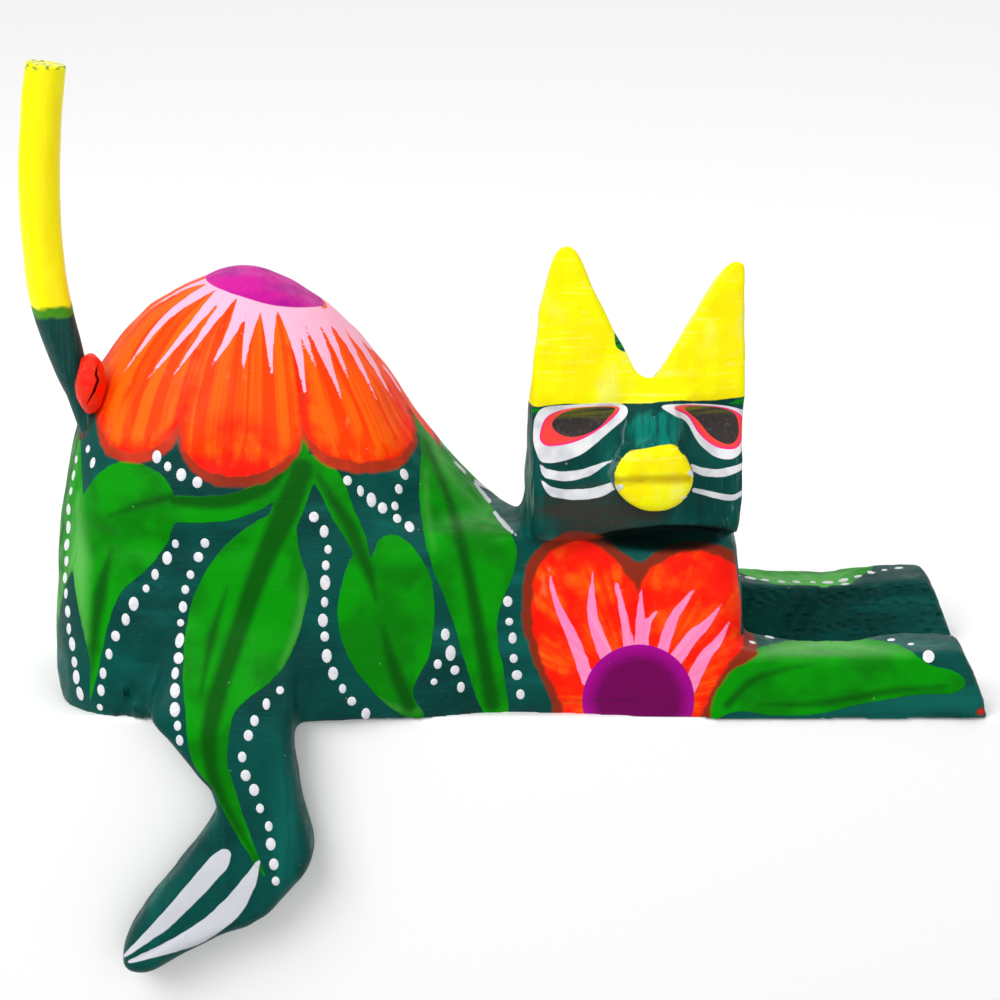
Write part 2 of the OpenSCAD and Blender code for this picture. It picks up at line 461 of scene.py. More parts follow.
class Skin:
    """The points of a close skin, in millimetres, while it is carved in detail and painted."""

    def __init__(self, piece: Piece) -> None:
        """Reads a piece's points.

        Args:
            piece: The piece, at the origin.
        """
        self.piece = piece
        count = len(piece.data.vertices)
        self.points = np.empty((count, 3), np.float32)
        piece.data.vertices.foreach_get("co", self.points.ravel())
        self.points = self.points.astype(float) / MM
        self.paint = {
            channel: np.full(count, 0.0 if channel in SHARES else FAR_OUT)
            for layout in CHANNELS.values() for channel in layout
        }
        self.read_normals()

    def read_normals(self) -> None:
        """Reads the way that the skin faces at each point."""
        self.facing = np.empty((len(self.points), 3), np.float32)
        self.piece.data.vertex_normals.foreach_get("vector", self.facing.ravel())
        self.facing = self.facing.astype(float)

    def push(self, amount: np.ndarray) -> None:
        """Moves each point outwards by its amount in millimetres, or inwards below zero."""
        self.points += self.facing * amount[:, None]
        self.write()

    def write(self) -> None:
        """Puts the points back into the mesh."""
        place_points(self.piece, self.points)
        self.read_normals()

    def dent(self, centre: Sequence[float], radii: Sequence[float], deep: float) -> None:
        """Presses a soft hollow of these radii into the skin, or raises it below zero."""
        off = ((self.points - np.array(centre)) / np.array(radii)) ** 2
        self.push(-deep * np.exp(-2.2 * off.sum(axis=1)))

    def groove(self, line: Sequence[Sequence[float]], wide: float, deep: float) -> None:
        """Cuts a rounded groove along a line in space.

        Args:
            line: The points that the groove follows.
            wide: Its width in millimetres.
            deep: Its depth in millimetres.
        """
        path = smooth_path(tuple(tuple(p) for p in line))
        start, way = path[None, :-1], (path[1:] - path[:-1])[None]
        near = np.flatnonzero(
            (self.points > path.min(axis=0) - 2 * wide).all(axis=1)
            & (self.points < path.max(axis=0) + 2 * wide).all(axis=1)
        )
        here = self.points[near][:, None, :]
        share = np.clip(((here - start) * way).sum(-1) / (way * way).sum(-1), 0, 1)
        gap = np.sqrt(((here - start - share[..., None] * way) ** 2).sum(-1)).min(axis=1)
        amount = np.zeros(len(self.points))
        amount[near] = -deep * np.exp(-((gap / (wide * 0.45)) ** 2))
        self.push(amount)

    def side(self, side: Side, reach: np.ndarray | None = None) -> Paper:
        """Lays one side of the skin out on the painter's plane.

        Args:
            side: The side that is painted.
            reach: Which points the brush may touch, if not all of that side.

        Returns:
            The paper, with x and the painter's height.
        """
        out = self.points[:, 1] * side.value
        height = self.points[:, 2] + (TRUE_DEPTH - out) * math.tan(SIGHT_TILT)
        toward = (self.facing[:, 1] * side.value * math.cos(SIGHT_TILT)
                  + self.facing[:, 2] * math.sin(SIGHT_TILT))
        touched = (out > -6) & (toward > 0.04)
        if reach is not None:
            touched &= reach
        return Paper(np.stack([self.points[:, 0], height], axis=1), touched)

    def lay(self, channel: str, depth: np.ndarray) -> None:
        """Adds a motif to one channel of paint."""
        self.paint[channel] = np.maximum(self.paint[channel], depth)

    def paint_leaf(self, paper: Paper, leaf: Leaf) -> None:
        """Paints one leaf with its veins and its strokes of painted highlight.

        Args:
            paper: The side of the skin that it is on.
            leaf: The leaf.
        """
        depth = paper.patch(leaf.outline)
        _, along, across = paper.trace(Stroke(leaf.spine))
        mine = depth > np.maximum(self.paint["leaf"], -1.0)
        self.paint["along"] = np.where(mine, along + leaf.outline[0][0], self.paint["along"])
        self.paint["across"] = np.where(mine, across, self.paint["across"])
        self.lay("leaf", depth)
        for vein in leaf.veins:
            self.lay("vein", paper.stroke(vein))
        # the lights are pale strokes of painted highlight
        for light in leaf.lights:
            self.lay("light", paper.stroke(light))

    def store(self, names: Sequence[str]) -> None:
        """Writes channels of paint to the mesh, as vectors.

        Args:
            names: The vectors that the piece's finish reads.
        """
        for name in names:
            stacked = np.stack([self.paint[channel] for channel in CHANNELS[name]], axis=1)
            record = self.piece.data.attributes.new(name, "FLOAT_VECTOR", "POINT")
            record.data.foreach_set("vector", stacked.astype(np.float32).ravel())


# ---- colours and materials


def tone(red: int, green: int, blue: int) -> Colour:
    """A colour given as it looks, from 0 to 255, made ready for a shader."""
    def linear(value: int) -> float:
        share = value / 255
        return share / 12.92 if share <= 0.04045 else ((share + 0.055) / 1.055) ** 2.4
    return linear(red), linear(green), linear(blue), 1.0


@dataclass(frozen=True)
class Pigments:
    """The pots of acrylic on the painter's table, and the colours of the painted light and shade."""

    deep_teal: Colour = tone(0, 58, 54)
    teal: Colour = tone(0, 74, 67)
    worn_teal: Colour = tone(8, 104, 94)
    # painted highlight on the nose bridge
    bright_teal: Colour = tone(0, 132, 116)
    # painted sheen on the head's left side, and a grey wash low on the right of the face
    sheen_grey: Colour = tone(120, 150, 146)
    leaf: Colour = tone(0, 132, 0)
    leaf_bright: Colour = tone(0, 158, 0)
    leaf_deep: Colour = tone(0, 78, 2)
    # pale green of the painted highlights on the leaves
    leaf_highlight: Colour = tone(96, 184, 84)
    orange: Colour = tone(255, 100, 8)
    flame: Colour = tone(255, 62, 0)
    red: Colour = tone(255, 18, 0)
    edge_red: Colour = tone(196, 52, 26)
    edge_brown: Colour = tone(138, 42, 20)
    rose: Colour = tone(255, 178, 208)
    rose_deep: Colour = tone(255, 130, 186)
    magenta: Colour = tone(200, 16, 148)
    purple: Colour = tone(112, 0, 84)
    purple_light: Colour = tone(164, 0, 140)
    yellow: Colour = tone(252, 246, 0)
    pale_yellow: Colour = tone(250, 250, 110)
    warm_yellow: Colour = tone(252, 236, 0)
    white: Colour = tone(236, 236, 238)
    white_shade: Colour = tone(206, 208, 216)
    coral: Colour = tone(255, 72, 66)
    eye_pink: Colour = tone(255, 30, 140)
    eye_orange: Colour = tone(255, 120, 50)
    pupil: Colour = tone(58, 52, 52)
    olive: Colour = tone(120, 124, 18)
    # painted shade under the snout
    under_snout_shade: Colour = tone(58, 52, 47)
    wood: Colour = tone(196, 152, 100)
    wood_dark: Colour = tone(96, 58, 26)
    # painted shade for the slot under the chin
    slot_shade: Colour = tone(6, 20, 18)


POTS = Pigments()


class Graph:
    """Builds the nodes of one material with short calls."""

    def __init__(self, name: str) -> None:
        """Starts a material.

        Args:
            name: The material's name.
        """
        self.material = bpy.data.materials.new(name)
        self.material.use_nodes = True
        self.tree = self.material.node_tree
        self.shader = self.tree.nodes["Principled BSDF"]
        self.place = self.node("ShaderNodeTexCoord").outputs["Object"]
        self.colour: Socket | None = None
        self.relief: Socket | None = None

    def node(self, kind: str, **settings: object) -> bpy.types.Node:
        """Adds a node and sets its own properties."""
        made = self.tree.nodes.new(kind)
        for name, value in settings.items():
            setattr(made, name, value)
        return made

    def feed(self, target: Socket, value: "Socket | float | Colour") -> None:
        """Links a socket to another, or sets its number or colour."""
        if isinstance(value, bpy.types.NodeSocket):
            self.tree.links.new(value, target)
        else:
            target.default_value = value

    def sum(self, operation: str, *values: "Socket | float") -> Socket:
        """One step of arithmetic.

        Args:
            operation: Blender's name of the operation.
            values: Its sockets or numbers.

        Returns:
            The result.
        """
        made = self.node("ShaderNodeMath", operation=operation)
        for target, value in zip(made.inputs, values):
            self.feed(target, value)
        return made.outputs[0]

    def times(self, first: Socket, second: "Socket | float") -> Socket:
        """One value times another."""
        return self.sum("MULTIPLY", first, second)

    def plus(self, first: "Socket | float", second: "Socket | float",
             share: "Socket | float" = 1.0) -> Socket:
        """One value plus a share of another."""
        return self.sum("ADD", first, second if share == 1.0 else self.times(second, share))

    def mix(self, share: "Socket | float", under: "Socket | Colour", over: "Socket | Colour") -> Socket:
        """Lays one colour over another.

        Args:
            share: How much of the upper colour shows.
            under: The lower colour.
            over: The upper colour.

        Returns:
            The mixed colour.
        """
        made = self.node("ShaderNodeMix", data_type="RGBA")
        self.feed(made.inputs["Factor"], share)
        self.feed(made.inputs[6], under)
        self.feed(made.inputs[7], over)
        return made.outputs[2]

    def lay(self, share: "Socket | float", over: "Socket | Colour") -> None:
        """Lays one more coat over the paint so far."""
        self.colour = self.mix(share, self.colour, over)

    def thicken(self, coat: Socket, share: float = 1.0) -> None:
        """Adds a share of one coat's thickness to the fine relief so far."""
        self.relief = self.plus(self.relief, coat, share)

    def edge(self, depth: Socket, wobble: Socket, share: float, low: float, high: float) -> Socket:
        """The mask of a motif, whose edge is drawn by an unsteady hand.

        Args:
            depth: Depth inside the motif in millimetres.
            wobble: The sway of the hand.
            share: How much of that sway the edge takes.
            low: Depth where the paint begins.
            high: Depth where it covers.

        Returns:
            The mask.
        """
        return self.fade(self.plus(depth, wobble, share), low, high)

    def fade(self, value: Socket, low: float, high: float, to_low: float = 0.0,
             to_high: float = 1.0) -> Socket:
        """Runs smoothly between two numbers as a value goes from low to high."""
        made = self.node("ShaderNodeMapRange", interpolation_type="SMOOTHSTEP")
        ends = {"From Min": low, "From Max": high, "To Min": to_low, "To Max": to_high}
        for name, number in ends.items():
            made.inputs[name].default_value = number
        self.feed(made.inputs["Value"], value)
        return made.outputs["Result"]

    def noise(self, size: float, stretch: Sequence[float] = (1, 1, 1), detail: float = 2.0,
              where: Socket | None = None, unit: float = MM, shift: float = 0.0) -> Socket:
        """Uneven grey from 0 to 1.

        Args:
            size: Size of its spots in millimetres.
            stretch: How far they are drawn out along X, Y and Z.
            detail: How many finer layers it has.
            where: Coordinates that it follows, which are the object's own if none are given.
            unit: Length of one unit of those coordinates' millimetre.
            shift: An offset that makes two patterns differ.

        Returns:
            The grey value.
        """
        spread = self.node("ShaderNodeMapping")
        self.feed(spread.inputs["Vector"], where or self.place)
        spread.inputs["Scale"].default_value = [1 / (size * unit * s) for s in stretch]
        spread.inputs["Location"].default_value = (shift, shift, shift)
        made = self.node("ShaderNodeTexNoise")
        self.feed(made.inputs["Vector"], spread.outputs["Vector"])
        made.inputs["Scale"].default_value = 1.0
        made.inputs["Detail"].default_value = detail
        return made.outputs["Fac"]

    def channels(self, name: str) -> tuple[Socket, Socket, Socket]:
        """The three channels of paint that a vector attribute holds."""
        made = self.node("ShaderNodeAttribute", attribute_name=name)
        split = self.node("ShaderNodeSeparateXYZ")
        self.feed(split.inputs[0], made.outputs["Vector"])
        return tuple(split.outputs)

    def coordinates(self, along: Socket, across: Socket) -> Socket:
        """A plane of coordinates made of two values."""
        made = self.node("ShaderNodeCombineXYZ")
        self.feed(made.inputs[0], along)
        self.feed(made.inputs[1], across)
        return made.outputs[0]

    def split_place(self) -> tuple[Socket, Socket, Socket]:
        """The object's own x, y and z in metres."""
        made = self.node("ShaderNodeSeparateXYZ")
        self.feed(made.inputs[0], self.place)
        return tuple(made.outputs)

    def specks(self, size: float, share: float, radius: float) -> Socket:
        """A mask of small scattered specks.

        Args:
            size: Mean distance between them in millimetres.
            share: Share of them that shows.
            radius: Their radius as a share of the distance.

        Returns:
            The mask.
        """
        made = self.node("ShaderNodeTexVoronoi")
        self.feed(made.inputs["Vector"], self.place)
        made.inputs["Scale"].default_value = 1 / (size * MM)
        pick = self.node("ShaderNodeSeparateColor")
        self.feed(pick.inputs[0], made.outputs["Color"])
        shown = self.sum("LESS_THAN", pick.outputs[0], share)
        near = self.fade(made.outputs["Distance"], radius, radius * 0.6)
        return self.times(shown, near)

    def finish(self, rough: Socket, deep: float, gloss: float = 0.2) -> bpy.types.Material:
        """Wires the coats and their relief to the shader and hands the material over.

        Args:
            rough: The roughness.
            deep: The full depth of the fine relief in millimetres.
            gloss: Strength of the shine.

        Returns:
            The finished material.
        """
        bump = self.node("ShaderNodeBump")
        bump.inputs["Strength"].default_value = 1.0
        bump.inputs["Distance"].default_value = deep * MM
        self.feed(bump.inputs["Height"], self.relief)
        self.feed(self.shader.inputs["Normal"], bump.outputs[0])
        self.feed(self.shader.inputs["Base Color"], self.colour)
        self.feed(self.shader.inputs["Roughness"], rough)
        self.shader.inputs["Specular IOR Level"].default_value = gloss
        return self.material


@dataclass(frozen=True)
class CarvedPaint:
    """Acrylic on carved wood: the teal ground and every motif that a carved piece carries."""

    name: str
    grain_stretch: Triple = (9.0, 1.0, 1.0)
    flower: bool = False
    face: bool = False
    lips_height: float = 49.9
    lips_depth: float = -32.8
    lid_height: float = 60.5

    def make(self) -> bpy.types.Material:
        """Builds the material.

        Returns:
            The material.
        """
        graph = Graph(self.name)
        wobble = graph.sum("MULTIPLY_ADD", graph.noise(2.2, detail=1.0), 0.9, -0.45)
        hair = graph.noise(0.28, (14, 1, 1) if not self.face else (1, 1, 14), detail=2.0)
        self.ground(graph, hair)
        self.leaves(graph, wobble)
        if self.flower:
            self.flowers(graph, wobble)
        if self.face:
            self.features(graph, wobble)
        self.wear_and_shade(graph)
        rough = graph.fade(graph.noise(3.0, detail=3.0, shift=4.0), 0.3, 0.7, 0.3, 0.5)
        return graph.finish(graph.plus(rough, hair, 0.1), 0.16, gloss=0.09)

    def ground(self, graph: Graph, hair: Socket) -> None:
        """The teal ground, thin enough in places for the wood's grain to show in it."""
        broad = graph.noise(17.0, detail=3.0)
        patches = graph.noise(6.0, self.grain_stretch, detail=4.0, shift=2.0)
        graph.colour = graph.mix(graph.fade(broad, 0.36, 0.62), POTS.deep_teal, POTS.teal)
        graph.lay(graph.fade(patches, 0.5, 0.78, 0.0, 0.75), POTS.worn_teal)
        graph.lay(graph.fade(hair, 0.52, 0.8, 0.0, 0.35), POTS.worn_teal)
        grain = graph.noise(1.1, self.grain_stretch, detail=3.0, shift=7.0)
        pits = graph.noise(0.5, detail=2.0, shift=3.0)
        graph.relief = graph.plus(graph.times(grain, 0.55), hair, 0.25)
        graph.thicken(pits, 0.12)

    def leaves(self, graph: Graph, wobble: Socket) -> None:
        """Green leaves and stems, brushed along their length, with pale green painted highlights; on the
        head, the painted shade of the slot under the chin.
        """
        leaf, along, across = graph.channels("leaf")
        vein, light, dash = graph.channels("rib")
        brushed = graph.noise(0.55, (16, 1, 1), 3.0, graph.coordinates(along, across), 1.0)
        green = graph.mix(graph.fade(brushed, 0.38, 0.62), POTS.leaf, POTS.leaf_bright)
        shade = graph.fade(graph.noise(9.0, detail=2.0), 0.4, 0.62, 0.0, 0.45)
        green = graph.mix(shade, green, POTS.leaf_deep)
        drag = graph.sum("MULTIPLY_ADD", brushed, 2.4, -1.2)
        # painted highlight: pale green along the leaves' light strokes
        highlighted = graph.fade(graph.plus(light, drag), -0.9, 3.0, 0.0, 0.85)
        green = graph.mix(highlighted, green, POTS.leaf_highlight)
        veined = graph.fade(graph.plus(vein, drag), -0.7, 1.2, 0.0, 0.9)
        green = graph.mix(veined, green, POTS.leaf_deep)
        mask = graph.edge(leaf, wobble, 0.5, -0.1, 0.16)
        graph.lay(mask, green)
        if self.face:
            # on the head the dash channel holds the slot under the chin, which gets painted shade
            graph.lay(graph.fade(dash, -0.6, 1.2, 0.0, 0.94), POTS.slot_shade)
            graph.thicken(mask, 0.6)
            return
        white = graph.edge(dash, wobble, 0.3, -0.08, 0.1)
        graph.lay(white, POTS.white_shade)
        graph.thicken(graph.times(mask, graph.sum("MULTIPLY_ADD", brushed, 0.5, 0.35)))
        graph.thicken(white)

    def flowers(self, graph: Graph, wobble: Socket) -> None:
        """The petals with their brown borders, the rose strokes and the round hearts of the flowers."""
        petal, core, ray = graph.channels("petal")
        streak, disc, chest = graph.channels("bloom")
        rays = graph.noise(1.0, (1, 1, 1), 3.0, graph.coordinates(ray, graph.times(core, 0.09)), 1.0)
        cloud = graph.noise(5.0, detail=3.0, shift=11.0)
        rim = graph.mix(chest, POTS.edge_red, POTS.edge_brown)
        rim = graph.mix(graph.fade(cloud, 0.35, 0.7, 0.0, 0.5), rim, POTS.edge_brown)
        inner = graph.mix(graph.fade(rays, 0.42, 0.6), POTS.flame, POTS.orange)
        hot = graph.mix(graph.fade(rays, 0.4, 0.62, 0.0, 0.4), POTS.red, POTS.flame)
        deep_in = graph.plus(graph.times(core, 0.8), graph.sum("MULTIPLY_ADD", cloud, 7.0, -3.5))
        inner = graph.mix(graph.fade(deep_in, -0.8, 2.6), hot, inner)
        inner = graph.mix(graph.times(chest, graph.fade(cloud, 0.36, 0.68, 0.95, 0.15)), inner, POTS.red)
        thin = graph.fade(graph.noise(3.0, (1, 1, 3), shift=20.0), 0.66, 0.8, 0.0, 0.25)
        inner = graph.mix(thin, inner, tone(255, 170, 110))
        bloom = graph.mix(graph.edge(core, wobble, 1.3, -0.35, 0.45), rim, inner)
        mask = graph.edge(petal, wobble, 1.1, -0.45, 0.35)
        graph.lay(mask, bloom)
        rosy = graph.edge(streak, wobble, 0.45, -0.05, 0.1)
        pink = graph.mix(chest, POTS.rose, POTS.rose_deep)
        pink = graph.mix(graph.fade(rays, 0.35, 0.7, 0.0, 0.3), pink, POTS.rose)
        graph.lay(rosy, pink)
        round_ = graph.fade(disc, -0.08, 0.1)
        plum = graph.mix(graph.fade(disc, 0.2, 3.8), POTS.purple_light, POTS.purple)
        violet = graph.mix(graph.fade(cloud, 0.4, 0.7), POTS.magenta, POTS.purple_light)
        graph.lay(round_, graph.mix(chest, violet, plum))
        smooth = graph.sum("SUBTRACT", 1.0, graph.times(mask, 0.55))
        graph.relief = graph.times(graph.relief, smooth)
        graph.thicken(graph.times(mask, rays), 0.6)
        graph.thicken(rosy, 0.45)
        graph.thicken(round_, 0.7)

    def features(self, graph: Graph, wobble: Socket) -> None:
        """The yellow ears and snout, the eyes and the whiskers of the head, with painted light: a highlight
        on the nose bridge, a grey sheen on the head's left side, and shade under the snout and in its crease.
        """
        white, red, pupil = graph.channels("eye")
        whisker, yellow, green = graph.channels("mark")
        grey, brown, bare = graph.channels("tint")
        upright = graph.noise(0.45, (1, 1, 24), 4.0, shift=5.0)
        level = graph.noise(0.8, (14, 14, 1), 3.0, shift=9.0)
        # painted highlight on the nose bridge
        bridge = graph.times(bare, graph.noise(1.2, (1, 1, 5), 3.0))
        graph.lay(graph.fade(bridge, 0.2, 0.6, 0.0, 0.85), POTS.bright_teal)
        # painted sheen: grey streaks on the head's left side, and a grey wash low on the right of the face
        graph.lay(graph.fade(graph.times(grey, upright), 0.38, 0.72, 0.0, 0.9), POTS.sheen_grey)
        # painted shade under the snout
        chin = graph.times(brown, graph.noise(1.6, (6, 6, 1), 3.0))
        graph.lay(graph.fade(chin, 0.08, 0.5, 0.0, 0.85), POTS.under_snout_shade)
        band = graph.edge(yellow, wobble, 0.35, -0.08, 0.12)
        coats = graph.fade(graph.noise(7.0, detail=2.0, shift=13.0), 0.42, 0.6)
        ears = graph.mix(coats, POTS.yellow, POTS.warm_yellow)
        gaps = graph.times(graph.fade(level, 0.5, 0.68), graph.fade(graph.noise(6.0, shift=31.0), 0.44, 0.62))
        ears = graph.mix(graph.times(gaps, 0.5), ears, POTS.pale_yellow)
        bald = graph.fade(graph.noise(8.0, (1, 1, 2), 4.0, shift=23.0), 0.5, 0.72, 0.0, 0.6)
        ears = graph.mix(bald, ears, tone(238, 246, 132))
        thin = graph.times(graph.fade(upright, 0.58, 0.76),
                           graph.fade(graph.noise(5.0, shift=17.0), 0.52, 0.66))
        ears = graph.mix(graph.times(thin, 0.6), ears, tone(196, 224, 60))
        _, depth, height = graph.split_place()
        # painted shade: the snout's crease darkened to brown along its line
        off = graph.sum("ABSOLUTE", graph.sum("SUBTRACT", height, self.lips_height * MM))
        front = graph.fade(depth, self.lips_depth * MM, (self.lips_depth - 0.8) * MM)
        crease = graph.times(graph.fade(off, 0.0016, 0.0), front)
        crease = graph.times(crease, graph.fade(graph.noise(2.4, (3, 1, 1)), 0.3, 0.6, 0.15, 0.75))
        graph.lay(band, graph.mix(crease, ears, tone(168, 132, 0)))
        patch = graph.edge(green, wobble, 0.4, -0.1, 0.15)
        graph.lay(patch, graph.mix(graph.fade(level, 0.4, 0.6), POTS.teal, POTS.leaf))
        around = graph.edge(white, wobble, 0.2, -0.05, 0.09)
        chalk = graph.mix(graph.fade(graph.noise(4.0, detail=3.0), 0.4, 0.7), POTS.white, POTS.white_shade)
        graph.lay(around, chalk)
        lid = self.lid_height * MM
        ring = graph.mix(graph.fade(height, lid, lid + 0.0023), POTS.coral, POTS.eye_orange)
        ring = graph.mix(graph.fade(red, 0.55, 0.15, 0.0, 0.9), ring, POTS.eye_pink)
        ring = graph.mix(graph.fade(height, lid + 0.0013, lid + 0.0025), ring, POTS.eye_orange)
        graph.lay(graph.fade(red, -0.05, 0.08), ring)
        worn = graph.fade(graph.noise(0.9, detail=4.0), 0.5, 0.75, 0.0, 0.5)
        dark = graph.mix(worn, POTS.pupil, tone(98, 92, 90))
        smear = graph.times(graph.fade(height, lid - 0.0009, lid + 0.0017), graph.fade(level, 0.3, 0.6))
        graph.lay(graph.fade(pupil, -0.05, 0.08), graph.mix(smear, dark, POTS.olive))
        hairs = graph.edge(whisker, wobble, 0.3, -0.06, 0.1)
        graph.lay(graph.times(hairs, 0.96), chalk)
        graph.thicken(band, 0.4)
        graph.thicken(graph.sum("MAXIMUM", around, hairs), 0.6)

    def wear_and_shade(self, graph: Graph) -> None:
        """Painted shade in the slot under the chin, then dust specks, small chips and the bare wood of
        drilled holes.
        """
        grey, _, bare = graph.channels("tint")
        if not self.face:
            # painted shade in the slot under the chin
            graph.lay(graph.times(grey, 0.94), POTS.slot_shade)
            drilled = graph.mix(graph.noise(0.6, (1, 1, 6), 3.0), POTS.wood_dark, tone(60, 34, 14))
            graph.lay(graph.fade(bare, 0.35, 0.6), drilled)
        graph.lay(graph.times(graph.specks(2.6, 0.22, 0.045), 0.75), POTS.white_shade)
        graph.lay(graph.times(graph.specks(6.0, 0.12, 0.04), 0.8), tone(190, 150, 90))


@dataclass(frozen=True)
class TwigPaint:
    """The tail's finish: yellow down to a soft green line, dark teal below it, bare wood on the tenon."""

    name: str = "tail_twig_paint"
    line_height: float = 79.0
    cut_height: float = 123.2
    tenon_height: float = 53.5

    def make(self) -> bpy.types.Material:
        """Builds the material.

        Returns:
            The material.
        """
        graph = Graph(self.name)
        _, _, height = graph.split_place()
        sway = graph.sum("MULTIPLY_ADD", graph.noise(3.0, detail=1.0), 0.0028, -0.0014)
        level = graph.plus(height, sway)
        bark = graph.noise(0.5, (1, 1, 22), 3.0)
        graph.colour = graph.mix(graph.fade(bark, 0.42, 0.66), POTS.deep_teal, POTS.teal)
        worn = graph.noise(1.2, (1, 1, 30), 2.0, shift=5.0)
        graph.lay(graph.fade(worn, 0.58, 0.75, 0.0, 0.6), tone(88, 110, 110))
        line = self.line_height * MM
        green = graph.mix(graph.noise(1.6, detail=2.0), POTS.leaf, tone(92, 150, 20))
        graph.lay(graph.fade(level, line - 0.0034, line - 0.0022), green)
        gold = graph.mix(graph.fade(graph.noise(6.0, (1, 1, 3), 2.0), 0.4, 0.62),
                         POTS.yellow, POTS.warm_yellow)
        gold = graph.mix(graph.fade(bark, 0.62, 0.8, 0.0, 0.35), gold, POTS.pale_yellow)
        graph.lay(graph.fade(level, line - 0.0012, line - 0.0002), gold)
        end = graph.fade(height, self.cut_height * MM, (self.cut_height + 0.6) * MM)
        cut = graph.times(end, graph.fade(graph.noise(1.1, detail=2.0), 0.5, 0.58))
        graph.lay(graph.times(cut, 0.8), tone(40, 130, 60))
        graph.lay(graph.times(graph.specks(3.4, 0.15, 0.05), 0.7), tone(120, 110, 40))
        tenon = graph.fade(height, self.tenon_height * MM, (self.tenon_height - 1.5) * MM)
        graph.lay(tenon, graph.mix(graph.noise(0.5, (1, 1, 16), 3.0), POTS.wood, POTS.wood_dark))
        rough = graph.plus(graph.fade(level, line - 0.002, line, 0.42, 0.22), bark, 0.12)
        graph.relief = graph.plus(graph.times(bark, 0.6), graph.noise(2.0, detail=2.0))
        return graph.finish(rough, 0.1)


@dataclass(frozen=True)
class PastePaint:
    """Paint over sawdust-and-glue paste, lumpy and granular."""

    name: str
    main: Colour
    second: Colour
    flecks: Colour
    grain: float = 0.7

    def make(self) -> bpy.types.Material:
        """Builds the material.

        Returns:
            The material.
        """
        graph = Graph(self.name)
        broad = graph.noise(2.6, detail=3.0)
        grit = graph.noise(self.grain, detail=4.0, shift=3.0)
        graph.colour = graph.mix(graph.fade(broad, 0.38, 0.62), self.main, self.second)
        graph.lay(graph.fade(grit, 0.62, 0.74, 0.0, 0.5), self.flecks)
        graph.lay(graph.times(graph.specks(2.0, 0.2, 0.06), 0.6), POTS.white_shade)
        graph.relief = graph.plus(graph.times(grit, 0.7), broad)
        return graph.finish(graph.fade(grit, 0.3, 0.7, 0.34, 0.56), 0.2)


@dataclass(frozen=True)
class DotPaint:
    """Thick white acrylic dots with a faint bluish shade and a worn rim."""

    name: str = "white_dot_paint"

    def make(self) -> bpy.types.Material:
        """Builds the material.

        Returns:
            The material.
        """
        graph = Graph(self.name)
        cloud = graph.noise(0.9, detail=3.0)
        graph.colour = graph.mix(graph.fade(cloud, 0.36, 0.66, 0.25, 0.75), POTS.white, POTS.white_shade)
        graph.lay(graph.times(graph.specks(1.5, 0.12, 0.09), 0.5), tone(150, 160, 150))
        graph.relief = graph.noise(0.35, detail=2.0)
        return graph.finish(graph.fade(cloud, 0.3, 0.7, 0.3, 0.5), 0.015)


@dataclass(frozen=True)
class PegWood:
    """Bare whittled softwood with knife marks along its grain."""

    name: str = "bare_peg_wood"
    along: Triple = (1.0, 1.0, 12.0)

    def make(self) -> bpy.types.Material:
        """Builds the material.

        Returns:
            The material.
        """
        graph = Graph(self.name)
        rings = graph.noise(0.7, self.along, 4.0)
        graph.relief = graph.noise(0.2, self.along, 2.0, shift=6.0)
        graph.colour = graph.mix(graph.fade(rings, 0.35, 0.65), POTS.wood, tone(166, 118, 70))
        graph.lay(graph.fade(graph.relief, 0.6, 0.75, 0.0, 0.5), POTS.wood_dark)
        return graph.finish(graph.fade(rings, 0.3, 0.7, 0.55, 0.75), 0.08, gloss=0.15)


def dress(piece: Piece, material: bpy.types.Material) -> None:
    """Gives a piece one material and smooth shading.

    Args:
        piece: The piece.
        material: Its finish.
    """
    piece.data.materials.clear()
    piece.data.materials.append(material)
    take_up(piece)
    bpy.ops.object.shade_smooth_by_angle(angle=math.radians(42))


def hand_over(piece: Piece, body: str, slot: str, *nodes: str) -> None:
    """Settles a finished piece on its body and in place of its plain solid.

    Args:
        piece: The finished piece.
        body: The body that it moves with.
        slot: The material slot that it would take its finish from; it is not used.
        nodes: The plain solids that it stands for.
    """
    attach(piece, body)
    if nodes:
        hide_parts(*nodes)
    LOG.info("%s: %d points on %s", piece.name, len(piece.data.vertices), body)


def grown(outline: np.ndarray, amount: "float | np.ndarray") -> np.ndarray:
    """An outline moved outwards in millimetres, all round or by one amount for each point."""
    way = np.roll(outline, -1, axis=0) - np.roll(outline, 1, axis=0)
    way /= np.linalg.norm(way, axis=1)[:, None]
    return outline + np.reshape(amount, (-1, 1)) * np.stack([way[:, 1], -way[:, 0]], axis=1)


def upright(outline: np.ndarray, depth: float) -> np.ndarray:
    """Stands an outline of x and z up at one depth y, as a ring of points."""
    return np.stack([outline[:, 0], np.full(len(outline), depth), outline[:, 1]], axis=1)


# ---- the painter's motifs


